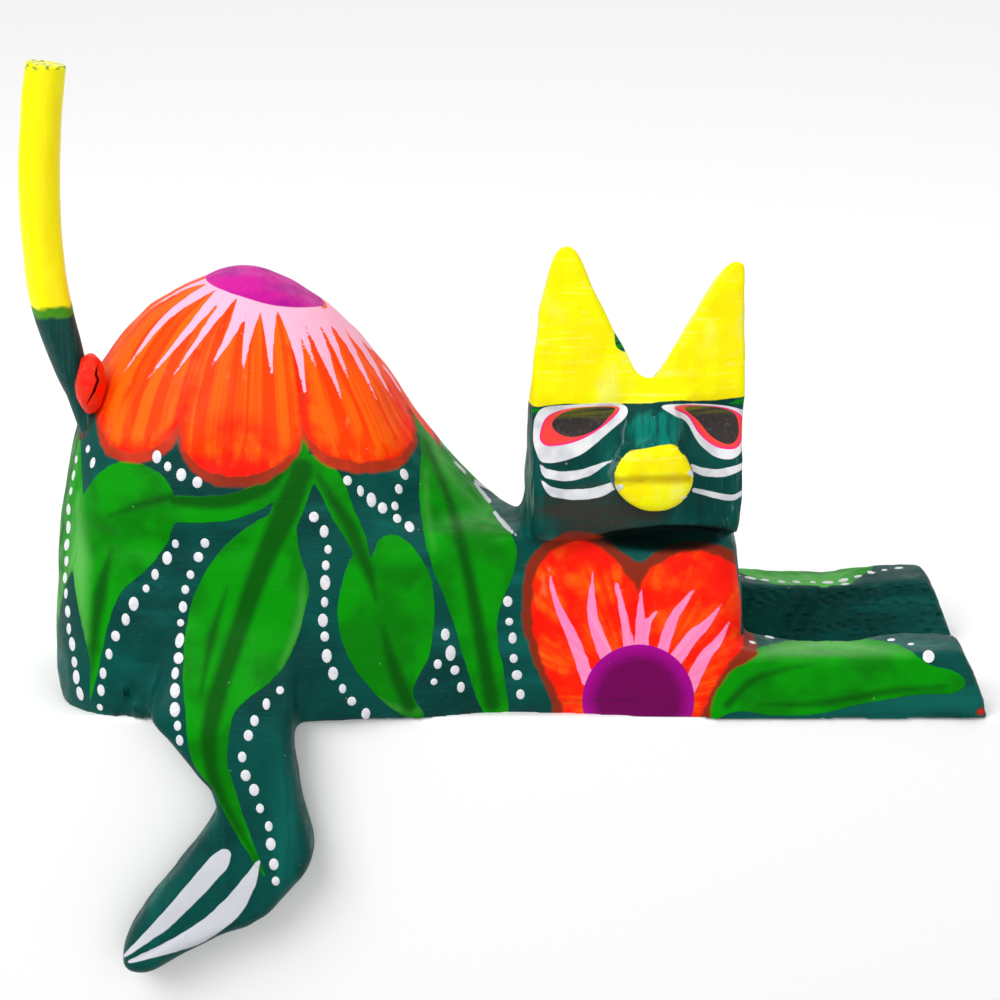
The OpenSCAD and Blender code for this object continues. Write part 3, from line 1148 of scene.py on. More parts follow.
@dataclass(frozen=True)
class Motifs:
    """Everything that is painted on the sides of the body, as x and painter's height."""

    stem: Stroke = Stroke(
        ((-61.5, 42.5), (-55, 42.5), (-49, 43.5), (-43.5, 46.5), (-39, 51), (-37.5, 56)),
        (5.4, 5.2, 5.0, 4.4, 3.4),
    )
    stem_vein: Stroke = Stroke(((-62, 44.2), (-53, 44.2), (-45, 46.9), (-39.5, 53.2)), (2.4, 3.8, 4.2, 3.2))
    stalk: Stroke = Stroke(((-37.2, 50.5), (-39, 45.5), (-41.5, 39.5), (-44, 34)), (5.0, 5.8, 5.8, 5.4))
    side_stem: Stroke = Stroke(
        ((-43, 46.5), (-36.5, 51), (-32.5, 48), (-30, 42), (-27, 36), (-24, 27)),
        (2, 4.6, 5.2, 4.6, 3.6, 1.0),
    )
    side_vein: Stroke = Stroke(
        ((-34.5, 49), (-31.5, 44), (-28, 38), (-25, 30), (-23.5, 24)), (1.2, 2.8, 3.2, 2.6, 0.8),
    )
    # each leaf's lights are pale strokes of painted highlight
    leaves: tuple[Leaf, ...] = (
        Leaf(
            outline=((-61.5, 43), (-63, 48), (-67, 51), (-72.5, 52), (-78, 48.5), (-82, 41.5), (-83, 33),
                     (-81.5, 22), (-79.5, 12), (-79.8, 3.5), (-77.5, 11), (-75.5, 19), (-72.5, 26),
                     (-67.5, 30.5), (-63, 36.5)),
            spine=((-61.5, 43), (-72, 40), (-78, 26), (-79.5, 4)),
            veins=(Stroke(((-62, 45), (-68, 43.5), (-75, 41)), (2.4, 1.8, 0.6)),
                   Stroke(((-74.5, 34.5), (-77, 25), (-79.5, 8)), (0.8, 3.4, 0.6))),
            lights=(Stroke(((-81.5, 45), (-81.5, 32), (-80.2, 16)), (2.0, 6.4, 2.0)),),
        ),
        Leaf(
            outline=((-39.5, 41.5), (-44.5, 41), (-52, 35.5), (-57.5, 27.5), (-60, 19), (-60.5, 10),
                     (-60, 2), (-59, -7.5), (-55.5, -13), (-53, -18.5), (-49, -26), (-45.3, -31.5),
                     (-48.5, -21.5), (-50.5, -14.5), (-52, -8), (-51.5, -2), (-50, 3), (-43.5, 8.5),
                     (-40, 13.5), (-37.5, 21), (-36.3, 27.5), (-38, 34)),
            spine=((-38.5, 46), (-44, 35), (-51, 15), (-56, -2), (-53, -15), (-46, -30)),
            veins=(Stroke(((-37.4, 50.5), (-40.5, 42), (-45, 32), (-50, 18), (-54.5, 3), (-55.5, -6),
                           (-54, -14), (-49, -24), (-46, -30)), (4.6, 5.4, 4.6, 4, 4, 3.4, 2.6, 1.6, 0.6)),
                   Stroke(((-52, 27), (-55, 17), (-57, 6)), (0.4, 2.2, 0.6))),
            lights=(Stroke(((-37.2, 30), (-38.3, 20), (-42, 11)), (0.6, 2.2, 0.6)),),
        ),
        Leaf(
            outline=((-28.5, 32.5), (-31, 23), (-29.5, 14), (-24.5, 6), (-19, 1), (-14.5, 0.5), (-16.8, 6),
                     (-13.5, 13.5), (-12.5, 23), (-14, 31), (-18.5, 36.8), (-22.5, 37), (-24.5, 33),
                     (-26.5, 32)),
            spine=((-30, 40), (-25, 30), (-22, 18), (-17, 2)),
            veins=(Stroke(((-22.5, 19), (-20.5, 11), (-17.5, 3)), (0.8, 3, 3.4)),),
            lights=(Stroke(((-27, 6), (-20, 2.5), (-16, 2)), (0.4, 1.4, 1.6)),),
        ),
        Leaf(
            outline=((-17.5, 63.5), (-15.5, 55), (-15.5, 44), (-13.5, 33), (-9.5, 21.5), (-6, 9), (-3, 1),
                     (1.5, 0.5), (0.8, 9), (-0.5, 20), (3, 31), (2.5, 37), (-3, 45), (-9.5, 54), (-14.5, 63)),
            spine=((-16, 60), (-9, 42), (-5, 26), (-1, 3)),
            veins=(Stroke(((-14.5, 56), (-9, 41.5), (-5.5, 26.5), (-1.5, 3)), (0.8, 2.4, 2.8, 3.6)),),
            lights=(Stroke(((-15, 60), (-10.5, 50.5), (-5, 44)), (1.8, 2.4, 0.6)),
                    Stroke(((-14.5, 50), (-14, 42), (-12.5, 34)), (1.4, 1.2, 0.4))),
        ),
        Leaf(
            outline=((35, -4), (38.5, 5.5), (42.5, 10.5), (48, 14), (59, 16), (69.5, 16.2), (77.5, 15),
                     (82.5, 11.5), (87.5, 10), (89.8, 7.7), (87.5, 5.5), (79.5, 5), (70, 3.2), (61.5, 1.2),
                     (53.5, 0.8), (45, 1.5)),
            spine=((38, 2), (50, 9), (70, 10), (89, 8)),
            veins=(Stroke(((44, 3), (48, 7.5), (53.5, 10), (60, 11.5)), (2.0, 1.8, 1.2, 0.3)),
                   Stroke(((50, 3), (62, 3.5), (76, 6), (86, 7)), (0.6, 1.6, 1.6, 0.5))),
            lights=(Stroke(((46, 12.6), (58.5, 14.6), (69, 14.6), (79, 13.2)), (1.2, 4.2, 3.8, 0.8)),),
        ),
    )
    near_petals: tuple[Path, ...] = (
        ((-50, 94), (-62, 94), (-73, 88), (-80, 76), (-78, 61), (-75.8, 54), (-71, 51.8), (-66, 52.3),
         (-62, 55), (-60.3, 59), (-57.5, 70), (-52, 84)),
        ((-44, 94), (-53, 86), (-58.5, 72), (-60.8, 58), (-59.3, 51.5), (-55, 47.8), (-49.5, 46.8),
         (-43.5, 48.3), (-39, 52.3), (-37.2, 57.5), (-37.5, 68), (-40, 80)),
        ((-40, 94), (-41, 82), (-38, 68), (-37.3, 57), (-34, 52), (-29, 50), (-24, 49.8), (-18.8, 51.5),
         (-16.3, 56), (-17.3, 62), (-20, 69), (-26, 80), (-34, 90)),
    )
    far_petals: tuple[Path, ...] = (
        ((-50, 94), (-62, 94), (-74, 88), (-81, 74), (-77, 60), (-73, 54), (-68, 53.5), (-63, 58),
         (-58, 70), (-52, 84)),
        ((-44, 94), (-52, 86), (-58, 72), (-62, 60), (-60, 52), (-54.5, 48.5), (-48, 48.8), (-42.5, 53),
         (-40, 60), (-39.5, 70), (-40, 80)),
        ((-38, 94), (-41, 82), (-39, 68), (-39.5, 57), (-34.5, 51), (-28, 49.5), (-23, 52.5), (-21, 60),
         (-24, 72), (-30, 84)),
        ((-34, 92), (-33, 80), (-25, 66), (-20.5, 57), (-15, 54), (-10.5, 57.5), (-12, 66), (-20, 80)),
    )
    rump_streaks: tuple[Stroke, ...] = (
        Stroke(((-56, 89), (-61, 87.3), (-68.5, 83)), (1.6, 0.8, 0.2)),
        Stroke(((-54, 88.5), (-64, 81), (-72.5, 69.5)), (2.6, 1.5, 0.2)),
        Stroke(((-52.5, 87.5), (-60, 77.5), (-67.5, 68)), (2.6, 1.4, 0.2)),
        Stroke(((-50.5, 87), (-55.5, 79), (-62, 69)), (2.7, 1.5, 0.2)),
        Stroke(((-48.5, 86), (-51, 78), (-54.8, 70.5)), (3.2, 1.9, 0.2)),
        Stroke(((-46.5, 86), (-48, 77), (-49, 68.5)), (3.5, 1.6, 0.2)),
        Stroke(((-44.5, 85), (-44, 77.5), (-43.4, 69.5)), (3.7, 1.9, 0.5)),
        Stroke(((-42, 85), (-39, 76), (-37, 65.5)), (3.5, 2.1, 0.6)),
        Stroke(((-40, 85), (-37.5, 77), (-34.8, 70)), (3.2, 1.3, 0.2)),
        Stroke(((-38, 84), (-33.8, 74), (-30.3, 64.5)), (3.0, 1.9, 0.3)),
        Stroke(((-36.5, 84), (-32.5, 77), (-28.8, 67.8)), (2.7, 1.4, 0.2)),
        Stroke(((-33.5, 82.5), (-28.8, 75), (-23.8, 64.5)), (2.1, 1.2, 0.2)),
        Stroke(((-32, 82.5), (-26, 74), (-21, 65)), (1.8, 1.0, 0.2)),
        Stroke(((-30, 82), (-24, 74), (-19.5, 66.5)), (1.4, 0.8, 0.2)),
    )
    chest_petal: Path = (
        (4.4, 26), (5.2, 31.5), (8.5, 35.5), (14, 38), (19.5, 37), (26.2, 32), (31, 34.5), (37, 36),
        (43, 35), (47.5, 31), (49, 22), (49.5, 13.5), (44.5, 10), (41, 4), (38, -4), (13, -4), (10, 4),
        (6.5, 12), (4.6, 19),
    )
    chest_cores: tuple[Path, ...] = (
        ((6.2, 25), (7.3, 31), (10.6, 34.6), (15, 36.2), (19.5, 34.8), (23.5, 30.5), (26.4, 26), (27.5, 14),
         (22, -4), (15, -4), (11.4, 4), (7.9, 12), (6.3, 19)),
        ((26.3, 25.5), (28, 29.8), (31.5, 32.4), (36.5, 34.4), (42, 33), (46.8, 29.6), (47.9, 22),
         (47, 15.6), (43.2, 10), (39.4, 2), (37, -4), (25, -4), (25.5, 14)),
    )
    chest_streaks: tuple[Stroke, ...] = (
        Stroke(((17, 8), (14.5, 15.5), (10.8, 24), (9.3, 31)), (2.6, 2.4, 1.3, 0.2)),
        Stroke(((20.5, 13), (18, 20), (17.6, 26), (17.8, 30)), (2.8, 2.2, 1.2, 0.2)),
        Stroke(((25, 13.5), (24, 20), (22.3, 27.5)), (2.4, 1.6, 0.9)),
        Stroke(((27.5, 13), (27, 20), (27, 27.5)), (3.2, 2.0, 0.2)),
        Stroke(((27.8, 17), (28.6, 20), (30.3, 22.3)), (1.6, 1.2, 0.4)),
        Stroke(((31, 13), (33, 20), (35, 23.5), (37.4, 26.8)), (2.4, 2.2, 1.4, 0.2)),
        Stroke(((33, 11), (37, 17), (39.5, 19.3), (42.8, 23.8)), (3.0, 2.6, 1.8, 0.2)),
        Stroke(((36.5, 6.5), (39.5, 13), (42, 16), (44.2, 20)), (3.0, 2.4, 1.8, 0.2)),
    )
    ridge_dashes: tuple[Stroke, ...] = (
        Stroke(((-9.5, 53.5), (-7, 50)), (0.6, 0.5)), Stroke(((-5, 47.8), (-2, 44)), (0.5, 0.8)),
        Stroke(((-1, 41.8), (1, 39.3), (3.2, 37.2)), (0.7, 1.0, 0.4)),
    )
    rump_disc: tuple[Point, float] = ((-46.0, 0.0), 11.5)
    chest_disc: tuple[Point, Point] = ((26.8, 3.8), (10.8, 11.6))
    border: float = 2.1

    def apply(self, skin: Skin) -> None:
        """Paints a carved piece on both sides.

        Args:
            skin: The piece's skin.
        """
        for side in Side:
            paper = skin.side(side, skin.points[:, 1] * side.value > -1.5)
            skin.lay("leaf", paper.stroke(self.stem))
            skin.lay("leaf", paper.stroke(self.side_stem))
            skin.lay("leaf", paper.stroke(self.stalk))
            _, along, across = paper.trace(self.stem)
            skin.paint["along"], skin.paint["across"] = along, across
            for leaf in self.leaves:
                skin.paint_leaf(paper, leaf)
            skin.lay("vein", paper.stroke(self.stem_vein))
            skin.lay("vein", paper.stroke(self.side_vein))
            for dash in self.ridge_dashes:
                skin.lay("dash", paper.stroke(dash))
            self.paint_rump(skin, paper, self.near_petals if side is Side.NEAR else self.far_petals)
            self.paint_chest(skin, paper)
        (middle_x, middle_y), radius = self.rump_disc
        off_x, off_y = skin.points[:, 0] - middle_x, skin.points[:, 1] - middle_y
        crown = radius - np.hypot(off_x, off_y)
        skin.lay("disc", np.where(skin.points[:, 2] > 70, crown, FAR_OUT))
        on_chest = skin.points[:, 0] > 3
        blush = np.hypot((skin.points[:, 0] + 50) / 9, (skin.points[:, 2] - 52) / 8)
        skin.paint["chest"] = np.maximum(on_chest, ease(blush, 1.3, 0.5))
        skin.paint["ray"] = np.where(on_chest, skin.paint["ray"], 13 * np.arctan2(off_y, off_x))

    def paint_rump(self, skin: Skin, paper: Paper, petals: tuple[Path, ...]) -> None:
        """Paints the flower on one side of the rump.

        Args:
            skin: The skin.
            paper: The side of it.
            petals: The outlines of the petals.
        """
        for petal in petals:
            depth = paper.patch(petal)
            rise = paper.flat[:, 1] - min(height for _, height in petal)
            skin.lay("petal", depth)
            skin.lay("core", depth - self.border * np.clip(1.3 - rise / 8, 0.22, 1) * (rise < 22))
        for streak in self.rump_streaks:
            skin.lay("streak", paper.stroke(streak))

    def paint_chest(self, skin: Skin, paper: Paper) -> None:
        """Paints the two-petalled flower on one side of the chest.

        Args:
            skin: The skin.
            paper: The side of it.
        """
        round_front = 4.5 * ease(skin.facing[:, 0], 0.87, 0.98)
        skin.lay("petal", paper.patch(self.chest_petal) - round_front)
        for core in self.chest_cores:
            skin.lay("core", paper.patch(core))
        for streak in self.chest_streaks:
            skin.lay("streak", paper.stroke(streak))
        centre, radii = self.chest_disc
        skin.lay("disc", paper.spot(centre, radii))
        off = paper.flat - np.array(centre)
        mine = paper.reach & (skin.points[:, 0] > 3)
        skin.paint["ray"] = np.where(mine, 13 * np.arctan2(off[:, 1], off[:, 0]), skin.paint["ray"])

    def paint_end(self, skin: Skin) -> None:
        """Paints the pair of leaves on the end of the rump.

        Args:
            skin: The torso's skin.
        """
        paper = Paper(skin.points[:, 1:], (skin.facing[:, 0] < -0.55) & (skin.points[:, 0] < -70))
        near = Leaf(((-11, 53), (-18, 45), (-21, 33), (-18, 19), (-12, 6), (-8, 18), (-5, 32), (-6, 45)),
                    ((-11, 53), (-13, 30), (-12, 6)),
                    (Stroke(((-11, 51), (-13, 32), (-12.5, 12)), (2.4, 2.0, 0.4)),),
                    (Stroke(((-18, 42), (-19, 30), (-15.5, 16)), (1.0, 2.0, 0.4)),))
        far = Leaf(((9, 50), (2, 42), (0, 30), (4, 16), (10, 4), (16, 18), (18, 32), (15, 43)),
                   ((9, 50), (9, 30), (10, 4)),
                   (Stroke(((9, 48), (9.5, 30), (10, 10)), (2.4, 2.0, 0.4)),))
        skin.paint_leaf(paper, near)
        skin.paint_leaf(paper, far)


MOTIFS = Motifs()
CARVED_CHANNELS = ("leaf", "rib", "petal", "bloom", "tint")


# ---- torso


@dataclass(frozen=True)
class Level:
    """One level of the body: height, ends, half widths at the rump and chest, and squareness."""

    height: float
    left: float
    right: float
    rump: float
    near: float
    far: float
    square: float

    def ring(self, grow: float = 0.0, count: int = 64) -> np.ndarray:
        """The level's outline.

        Args:
            grow: How far it is moved outwards.
            count: How many points it has.

        Returns:
            Its points in millimetres.
        """
        turn = (np.arange(count) + 0.5) / count * 2 * np.pi
        reach, side = np.cos(turn), np.sign(np.sin(turn))
        chest_front = (side < 0) & (reach > 0) & (self.height < 36.5)
        square = np.where(chest_front, np.maximum(self.square, 13), self.square)
        bow = (1 - np.abs(reach) ** square) ** (1 / square)
        x = (self.left + self.right) / 2 + ((self.right - self.left) / 2 + grow) * reach
        share = np.clip((x + 32) / 28, 0, 1)
        chest = np.where(side < 0, self.near, self.far)
        waist = 3 * np.exp(-(((x - 4) / 18) ** 2)) if self.height < 36.5 else 0
        if self.height < 36.5:
            waist = waist + (side < 0) * np.clip((x - 9) / 37, 0, 1) * max(self.height - 30, 0)
        half = self.rump + (chest - self.rump) * share - waist + grow
        return np.stack([x, side * bow * half, np.full(count, self.height + grow * self.height / 84)], axis=1)


@dataclass
class Torso:
    """The carved body with both forelegs, drilled for the tail and cut for the head and the leg."""

    levels: tuple[Level, ...] = (
        Level(-3, -87.2, 46.4, 31, 27, 26, 4), Level(5, -88.4, 47.4, 31.8, 28.4, 28, 4),
        Level(14, -88.2, 47.4, 31.6, 28.6, 28, 4), Level(24, -87.8, 46.8, 31, 28.2, 26.5, 3.8),
        Level(31, -87.4, 46, 30.4, 28.2, 21, 3.5), Level(34, -87, 45.4, 30, 28.2, 14, 3.2),
        Level(36, -86.7, 44.6, 29.7, 28.3, 8, 3), Level(37, -86.6, -2, 29.6, 24, 12, 2.8),
        Level(46, -85.3, -11, 28.5, 25, 20, 2.5), Level(54, -83.2, -17, 26.8, 26, 24, 2.4),
        Level(62, -79.9, -21.8, 24, 24, 24, 2.3), Level(69, -75.3, -27.3, 20.4, 20.4, 20.4, 2.3),
        Level(75, -69.6, -33, 16.4, 16.4, 16.4, 2.2), Level(79.5, -62.8, -39.5, 11.5, 11.5, 11.5, 2.1),
        Level(82.3, -56, -44.5, 6.5, 6.5, 6.5, 2), Level(83.5, -50, -48, 1, 1, 1, 2),
    )
    foreleg_side: Path = (
        (40, -3), (95.4, -3), (94.8, 0.5), (93.9, 3.4), (91.8, 8.4), (89.5, 13.4), (88.3, 14.1), (81, 13.7),
        (74, 13), (68, 12.4), (60, 12.4), (54, 12.8), (40, 15),
    )
    foreleg_width: float = 13.0
    foreleg_gap: float = 32.0
    seat_height: float = 35.0
    seat_from: float = 3.8
    grain: float = 0.66
    tail_root: Triple = (-80.3, -11.0, 57.0)
    tail_lean: float = 17.0
    bore: float = 2.6
    mouth: float = 3.2
    saddle_line: Path = (
        (-14, 62), (-9.4, 55.4), (-5.7, 50.5), (-2.5, 46.6), (0, 44.4), (2.5, 42.9), (5, 42.1), (10, 42.4),
        (20, 45), (32, 50), (32, 95), (-14, 95),
    )

    def body(self, grow: float = 0.0) -> Piece:
        """The plain body without its forelegs, its skin moved outwards by a margin."""
        return loft("body_block", [level.ring(grow) for level in self.levels])

    def foreleg(self, side: Side) -> Piece:
        """One foreleg, square with a slanting end."""
        outline = np.array(self.foreleg_side, float)[::-1]
        inner = side.value * self.foreleg_gap / 2
        outer = side.value * (self.foreleg_gap / 2 + self.foreleg_width)
        faces = [upright(outline, inner), upright(outline, outer)]
        faces[1][:, 1] -= side.value * 0.9 * (1 - ease(outline[:, 0], 40, 56))
        return loft(f"foreleg_{side.name.lower()}", faces)

    def axis(self, along: float) -> Vector:
        """A point on the tenon's axis, a length below the skin."""
        lean = math.radians(self.tail_lean)
        return Vector(self.tail_root) + Vector((math.sin(lean), 0, -math.cos(lean))) * along

    def saddle(self) -> Piece:
        """The hollow that slopes away behind the neck, cut along the painter's line of sight."""
        outline = np.array(self.saddle_line, float)
        rings = []
        for depth in (-36.0, 42.0):
            ring = upright(outline, depth)
            ring[:, 2] -= (depth + TRUE_DEPTH) * math.tan(SIGHT_TILT)
            rings.append(ring)
        return loft("saddle", rings)

    def blank(self) -> Piece:
        """The torso's block with both forelegs, flat below and hollowed behind the neck."""
        haunch = ball("haunch", (-50, 8, 8), (25.5, 25.5, 25.5))
        blank = fuse("torso_blank", self.body(), self.foreleg(Side.NEAR), self.foreleg(Side.FAR), haunch)
        recast(blank, self.grain, 1)
        work_in(blank, block("under", (-150, -100, -60), (150, 100, 0)))
        work_in(blank, self.saddle())
        return blank

    def build(self, carving: "Carving") -> Piece:
        """Parts the torso from the carving, drills it and paints it.

        Args:
            carving: The whole figure's skin.

        Returns:
            The finished piece.
        """
        torso = carving.part("torso_carving")
        work_in(torso, block("seat", (self.seat_from, -60, self.seat_height), (70, 60, 120)))
        work_in(torso, carving.leg.prism("leg_pocket", 0.6, carving.leg.back + 0.8))
        work_in(torso, block("under", (-150, -100, -70), (150, 100, -0.03)))
        work_in(torso, rod("drill", self.axis(15.6), self.axis(-10), self.bore))
        work_in(torso, rod("mouth", self.axis(1.2), self.axis(-9), self.mouth - 0.5, self.mouth + 0.4))
        skin = Skin(torso)
        self.paint(skin, carving)
        dress(torso, CarvedPaint("body_acrylic", flower=True).make())
        hand_over(torso, FIGURE, "body_paint", "torso")
        return torso

    def carve(self, skin: Skin) -> None:
        """Cuts the fine shapes: the folded far leg, the knot, the grain of the forelegs, the chips.

        Args:
            skin: The torso's skin.
        """
        around = [
            (-50 + 24 * math.cos(math.radians(a)), 31, 6 + 23 * math.sin(math.radians(a)))
            for a in range(-10, 176, 15)
        ]
        skin.groove(around, 2.6, 1.2)
        skin.groove([(-74, 32, 9), (-60, 33, 10), (-42, 33, 9.5), (-30, 31, 8)], 2.0, 0.9)
        for x, z, wide, tall, deep in (
            (-72.6, 4.6, 3.6, 5.0, 1.9), (-72.9, 5.2, 1.5, 2.8, -2.1), (-70.6, 2.6, 1.2, 2.0, -1.2),
            (-74.6, 1.6, 1.2, 1.4, -0.6), (-56, 52, 4, 4, 0.7), (-56, 60, 9, 6, -0.5),
            (-38.5, 60, 2.4, 11, 0.7), (-60.5, 60, 2.2, 9, 0.6), (-66, 12, 7, 12, 0.5),
            (-32, 6, 6, 9, 0.5), (93.6, 1.6, 2.2, 2.0, 0.6),
        ):
            skin.dent((x, -30, z), (wide, 16, tall), deep)
        skin.dent((88, -17, 13.4), (2.5, 3, 2), 0.5)
        skin.dent((88, 17.5, 12), (2.4, 2.6, 2.4), 0.9)
        x, y, z = skin.points.T
        leg = ease(x, 48, 52) * (z > 0.4)
        ragged = np.sin(z * 2.3 + np.sin(x * 0.45) * 2.4) * np.sin(x * 0.9 + z * 1.4 + 1.3)
        ragged += 0.6 * np.sin(x * 1.9 + 3.1 * np.sin(z * 0.8)) * np.sin(z * 3.3 + x * 0.3)
        inner = ease(np.abs(skin.facing[:, 1]), 0.6, 0.9) * (np.abs(y) < 22)
        skin.push(leg * (0.05 + 0.42 * inner) * ragged)
        low = (np.abs(skin.points[:, 2]) < 0.6) & (skin.points[:, 1] > -28.3)
        skin.points[low, 2] = 0.0
        skin.write()

    def paint(self, skin: Skin, carving: "Carving") -> None:
        """Paints the torso and stores its channels.

        Args:
            skin: The torso's skin.
            carving: The whole figure, which knows the slot under the chin.
        """
        MOTIFS.apply(skin)
        MOTIFS.paint_end(skin)
        top = Paper(skin.points[:, :2], (skin.facing[:, 2] > 0.4) & (skin.points[:, 2] < 20))
        band = Leaf(((48, 28.5), (58, 26.4), (70, 26.6), (79, 29), (77, 33), (58, 33)),
                    ((48, 29), (64, 28), (80, 29)))
        skin.paint_leaf(top, band)
        foot = self.axis(15.8)
        head = self.axis(-1.0)
        way = head - foot
        # painted shade in the slot under the chin
        skin.paint["grey"] = ease(carving.slot_depth(skin), -0.5, 1.2)
        off = skin.points - np.array(foot)
        share = np.clip(off @ np.array(way) / way.length_squared, 0, 1)
        gap = np.linalg.norm(off - share[:, None] * np.array(way), axis=1)
        skin.paint["bare"] = ease(gap, self.mouth + 0.35, self.bore + 0.2)
        fleck = np.linalg.norm((skin.points - np.array((93.2, -28.5, 1.6))) / np.array((0.9, 0.9, 0.7)),
                               axis=1)
        skin.lay("petal", 0.6 - fleck * 0.6)
        skin.lay("core", 0.3 - fleck * 0.6)
        skin.store(CARVED_CHANNELS)


# ---- head


@dataclass
class Head:
    """The head block: ears and notch, brow, eyes, nose bridge and snout, turned to the front paws."""

    centre: Point = (25.3, -16.2)
    turn: float = 9.0
    width: float = 38.6
    depth: float = 26.0
    bottom: float = 35.8
    notch_tilt: float = 16.0
    level_at: float = -31.0
    front_view: Path = (
        (4.6, 20), (4.7, 50), (5.6, 62), (7.4, 82), (9.8, 91.4), (11.0, 93.2), (12.4, 93.9), (13.7, 92.9),
        (14.9, 91), (17.5, 85.2), (20.8, 78.2), (24.6, 71.5), (25.7, 69.5), (27.9, 68.5), (29.9, 69.6),
        (35.3, 78.6), (41.2, 89), (42.8, 90.9), (44.3, 91.4), (45.9, 90.8), (46.6, 88), (46.9, 82),
        (47, 64), (46.6, 45), (45.8, 34), (45.4, 20),
    )
    side_view: Path = ((3.2, 35.8), (1.2, 38.6), (0.3, 42), (0, 46), (0.9, 55), (0.9, 61), (0.1, 64),
                       (1.6, 95.5), (11, 95.5), (17, 79), (22.5, 68), (26, 60), (26, 35.8))
    snout_outline: Path = (
        (-7.3, 0.3), (-5.4, 4.4), (-1.5, 5.8), (3.6, 6.1), (6.3, 3.2), (7.4, -0.8), (5.4, -4.6),
        (1.6, -6.4), (-3, -5.6), (-6.2, -3.2),
    )
    snout_at: Point = (0.8, 49.9)
    face_shapes: tuple[tuple[str, Path], ...] = (
        ("eye_white", ((6.2, 57), (6.6, 61.5), (8.6, 63.6), (15, 63.9), (21, 63.9), (23.8, 63),
                       (23.2, 60.8), (19.7, 57.4), (16, 54.4), (12.2, 52.9), (9.2, 52.6), (7.4, 53.4))),
        ("eye_red", ((7.4, 58), (8.6, 61.4), (12.1, 63), (18.7, 63.4), (22.3, 63), (21.2, 60.8),
                     (17, 57.6), (13.1, 56.1), (9.6, 55.8), (8, 56.4))),
        ("pupil", ((9.7, 60), (11.4, 62), (15, 63.1), (21.3, 63), (20.3, 60.9), (17.8, 58.5),
                   (14.1, 57.3), (11.2, 58))),
        ("eye_white", ((30.3, 63.6), (37.6, 63), (44.3, 62), (46.8, 60.2), (46.8, 55.2), (44.7, 52.2),
                       (41.3, 52.3), (37.8, 54.9), (35.2, 59.3), (32.7, 61.5))),
        ("eye_red", ((32.6, 63), (37.6, 62.7), (43.4, 61.7), (46, 59.7), (46, 55.8), (44.5, 53.9),
                     (40.7, 54.4), (37.6, 57), (35.5, 60.4))),
        ("pupil", ((34.8, 62.4), (39.6, 62.3), (44, 61), (45.2, 58.2), (44.9, 55.7), (43.1, 54.8),
                   (40, 56.3), (37.4, 59.5))),
    )
    whiskers: tuple[Stroke, ...] = (
        Stroke(((7.6, 52.3), (9, 50.6), (13, 50), (17, 50.8), (21.3, 53)), (0.4, 1.7, 1.9, 1.7, 0.2)),
        Stroke(((7.6, 49.6), (10, 47.2), (14.5, 46.4), (19.5, 47), (22.6, 49.3)), (0.2, 1.8, 2.2, 2.1, 1.0)),
        Stroke(((35.4, 51.4), (38.5, 49.8), (42.5, 49.4), (47, 50.8)), (0.8, 1.5, 1.7, 1.3)),
        Stroke(((36.8, 46.3), (41, 45), (44.3, 44.4), (46.6, 45.6)), (0.9, 1.2, 1.3, 0.8)),
        Stroke(((34.2, 46.6), (35.2, 46.5)), (0.6, 0.3)),
    )
    green_patches: tuple[Stroke, ...] = (
        Stroke(((4.6, 62.9), (8.6, 62.9)), (1.8, 0.3)), Stroke(((43.2, 62.8), (47.2, 63.6)), (0.3, 2.2)),
        Stroke(((11.6, 94.6), (13.6, 94.5)), (1.2, 1.0)),
        Stroke(((23.6, 45), (28, 43.4), (32, 43.9)), (0.6, 1.1, 0.3)),
    )
    grain: float = 0.37

    def world(self, local_x: np.ndarray, local_y: np.ndarray) -> tuple[np.ndarray, np.ndarray]:
        """Turns the head's own plan coordinates into the model's."""
        c, s = math.cos(math.radians(self.turn)), math.sin(math.radians(self.turn))
        return self.centre[0] + local_x * c - local_y * s, self.centre[1] + local_x * s + local_y * c

    def ring(self, x: np.ndarray, y: np.ndarray, z: np.ndarray) -> np.ndarray:
        """A ring of points from the head's own coordinates."""
        wide, deep = self.world(x, y)
        return np.stack([wide, deep, z], axis=1)

    def block(self) -> Piece:
        """The head's block: its front view cut along its depth, and its side view across it."""
        outline = np.array(self.front_view, float)[::-1]
        fall = math.tan(math.radians(self.notch_tilt))
        rings = []
        for depth in (-42.0, 12.0):
            ring = upright(outline, depth)
            ring[:, 2] -= (depth - self.level_at) * fall
            rings.append(ring)
        head = loft("head_carving", rings)
        side = np.array(self.side_view, float)
        cheeks = [
            self.ring(np.full(len(side), x), side[:, 0] - self.depth / 2, side[:, 1])
            for x in (-self.width / 2 - 2.0, self.width / 2)
        ]
        work_in(head, loft("head_side", cheeks), Joinery.KEEP_COMMON)
        return head

    def snout(self) -> Piece:
        """The flat round snout with its rim worn down."""
        outline = smooth_path(self.snout_outline, closed=True, steps=5)
        face = -self.depth / 2
        rings = []
        for forward, scale in ((-3, 1.08), (3.6, 1.05), (5.2, 1.0), (5.9, 0.86), (6.1, 0.5)):
            x = self.snout_at[0] + outline[:, 0] * scale
            z = self.snout_at[1] + outline[:, 1] * scale
            rings.append(self.ring(x, np.full(len(x), face - forward), z))
        return loft("snout", rings)

    def blank(self) -> Piece:
        """The head's block with its snout, nose bridge and brow laid on."""
        bridge_x, bridge_y = self.world(np.array([0.9]), np.array([-self.depth / 2]))
        bridge = ball("bridge", (bridge_x[0], bridge_y[0] + 1.5, 57.6), (6.2, 5.4, 7.6))
        tip = ball("bridge_tip", (bridge_x[0] + 0.4, bridge_y[0] - 0.4, 55.4), (4.6, 4.2, 3.4))
        brow = ball("brow", (bridge_x[0], bridge_y[0] + 3, 63.5), (9, 3.6, 2.2))
        return fuse("head_blank", self.block(), self.snout(), bridge, tip, brow)

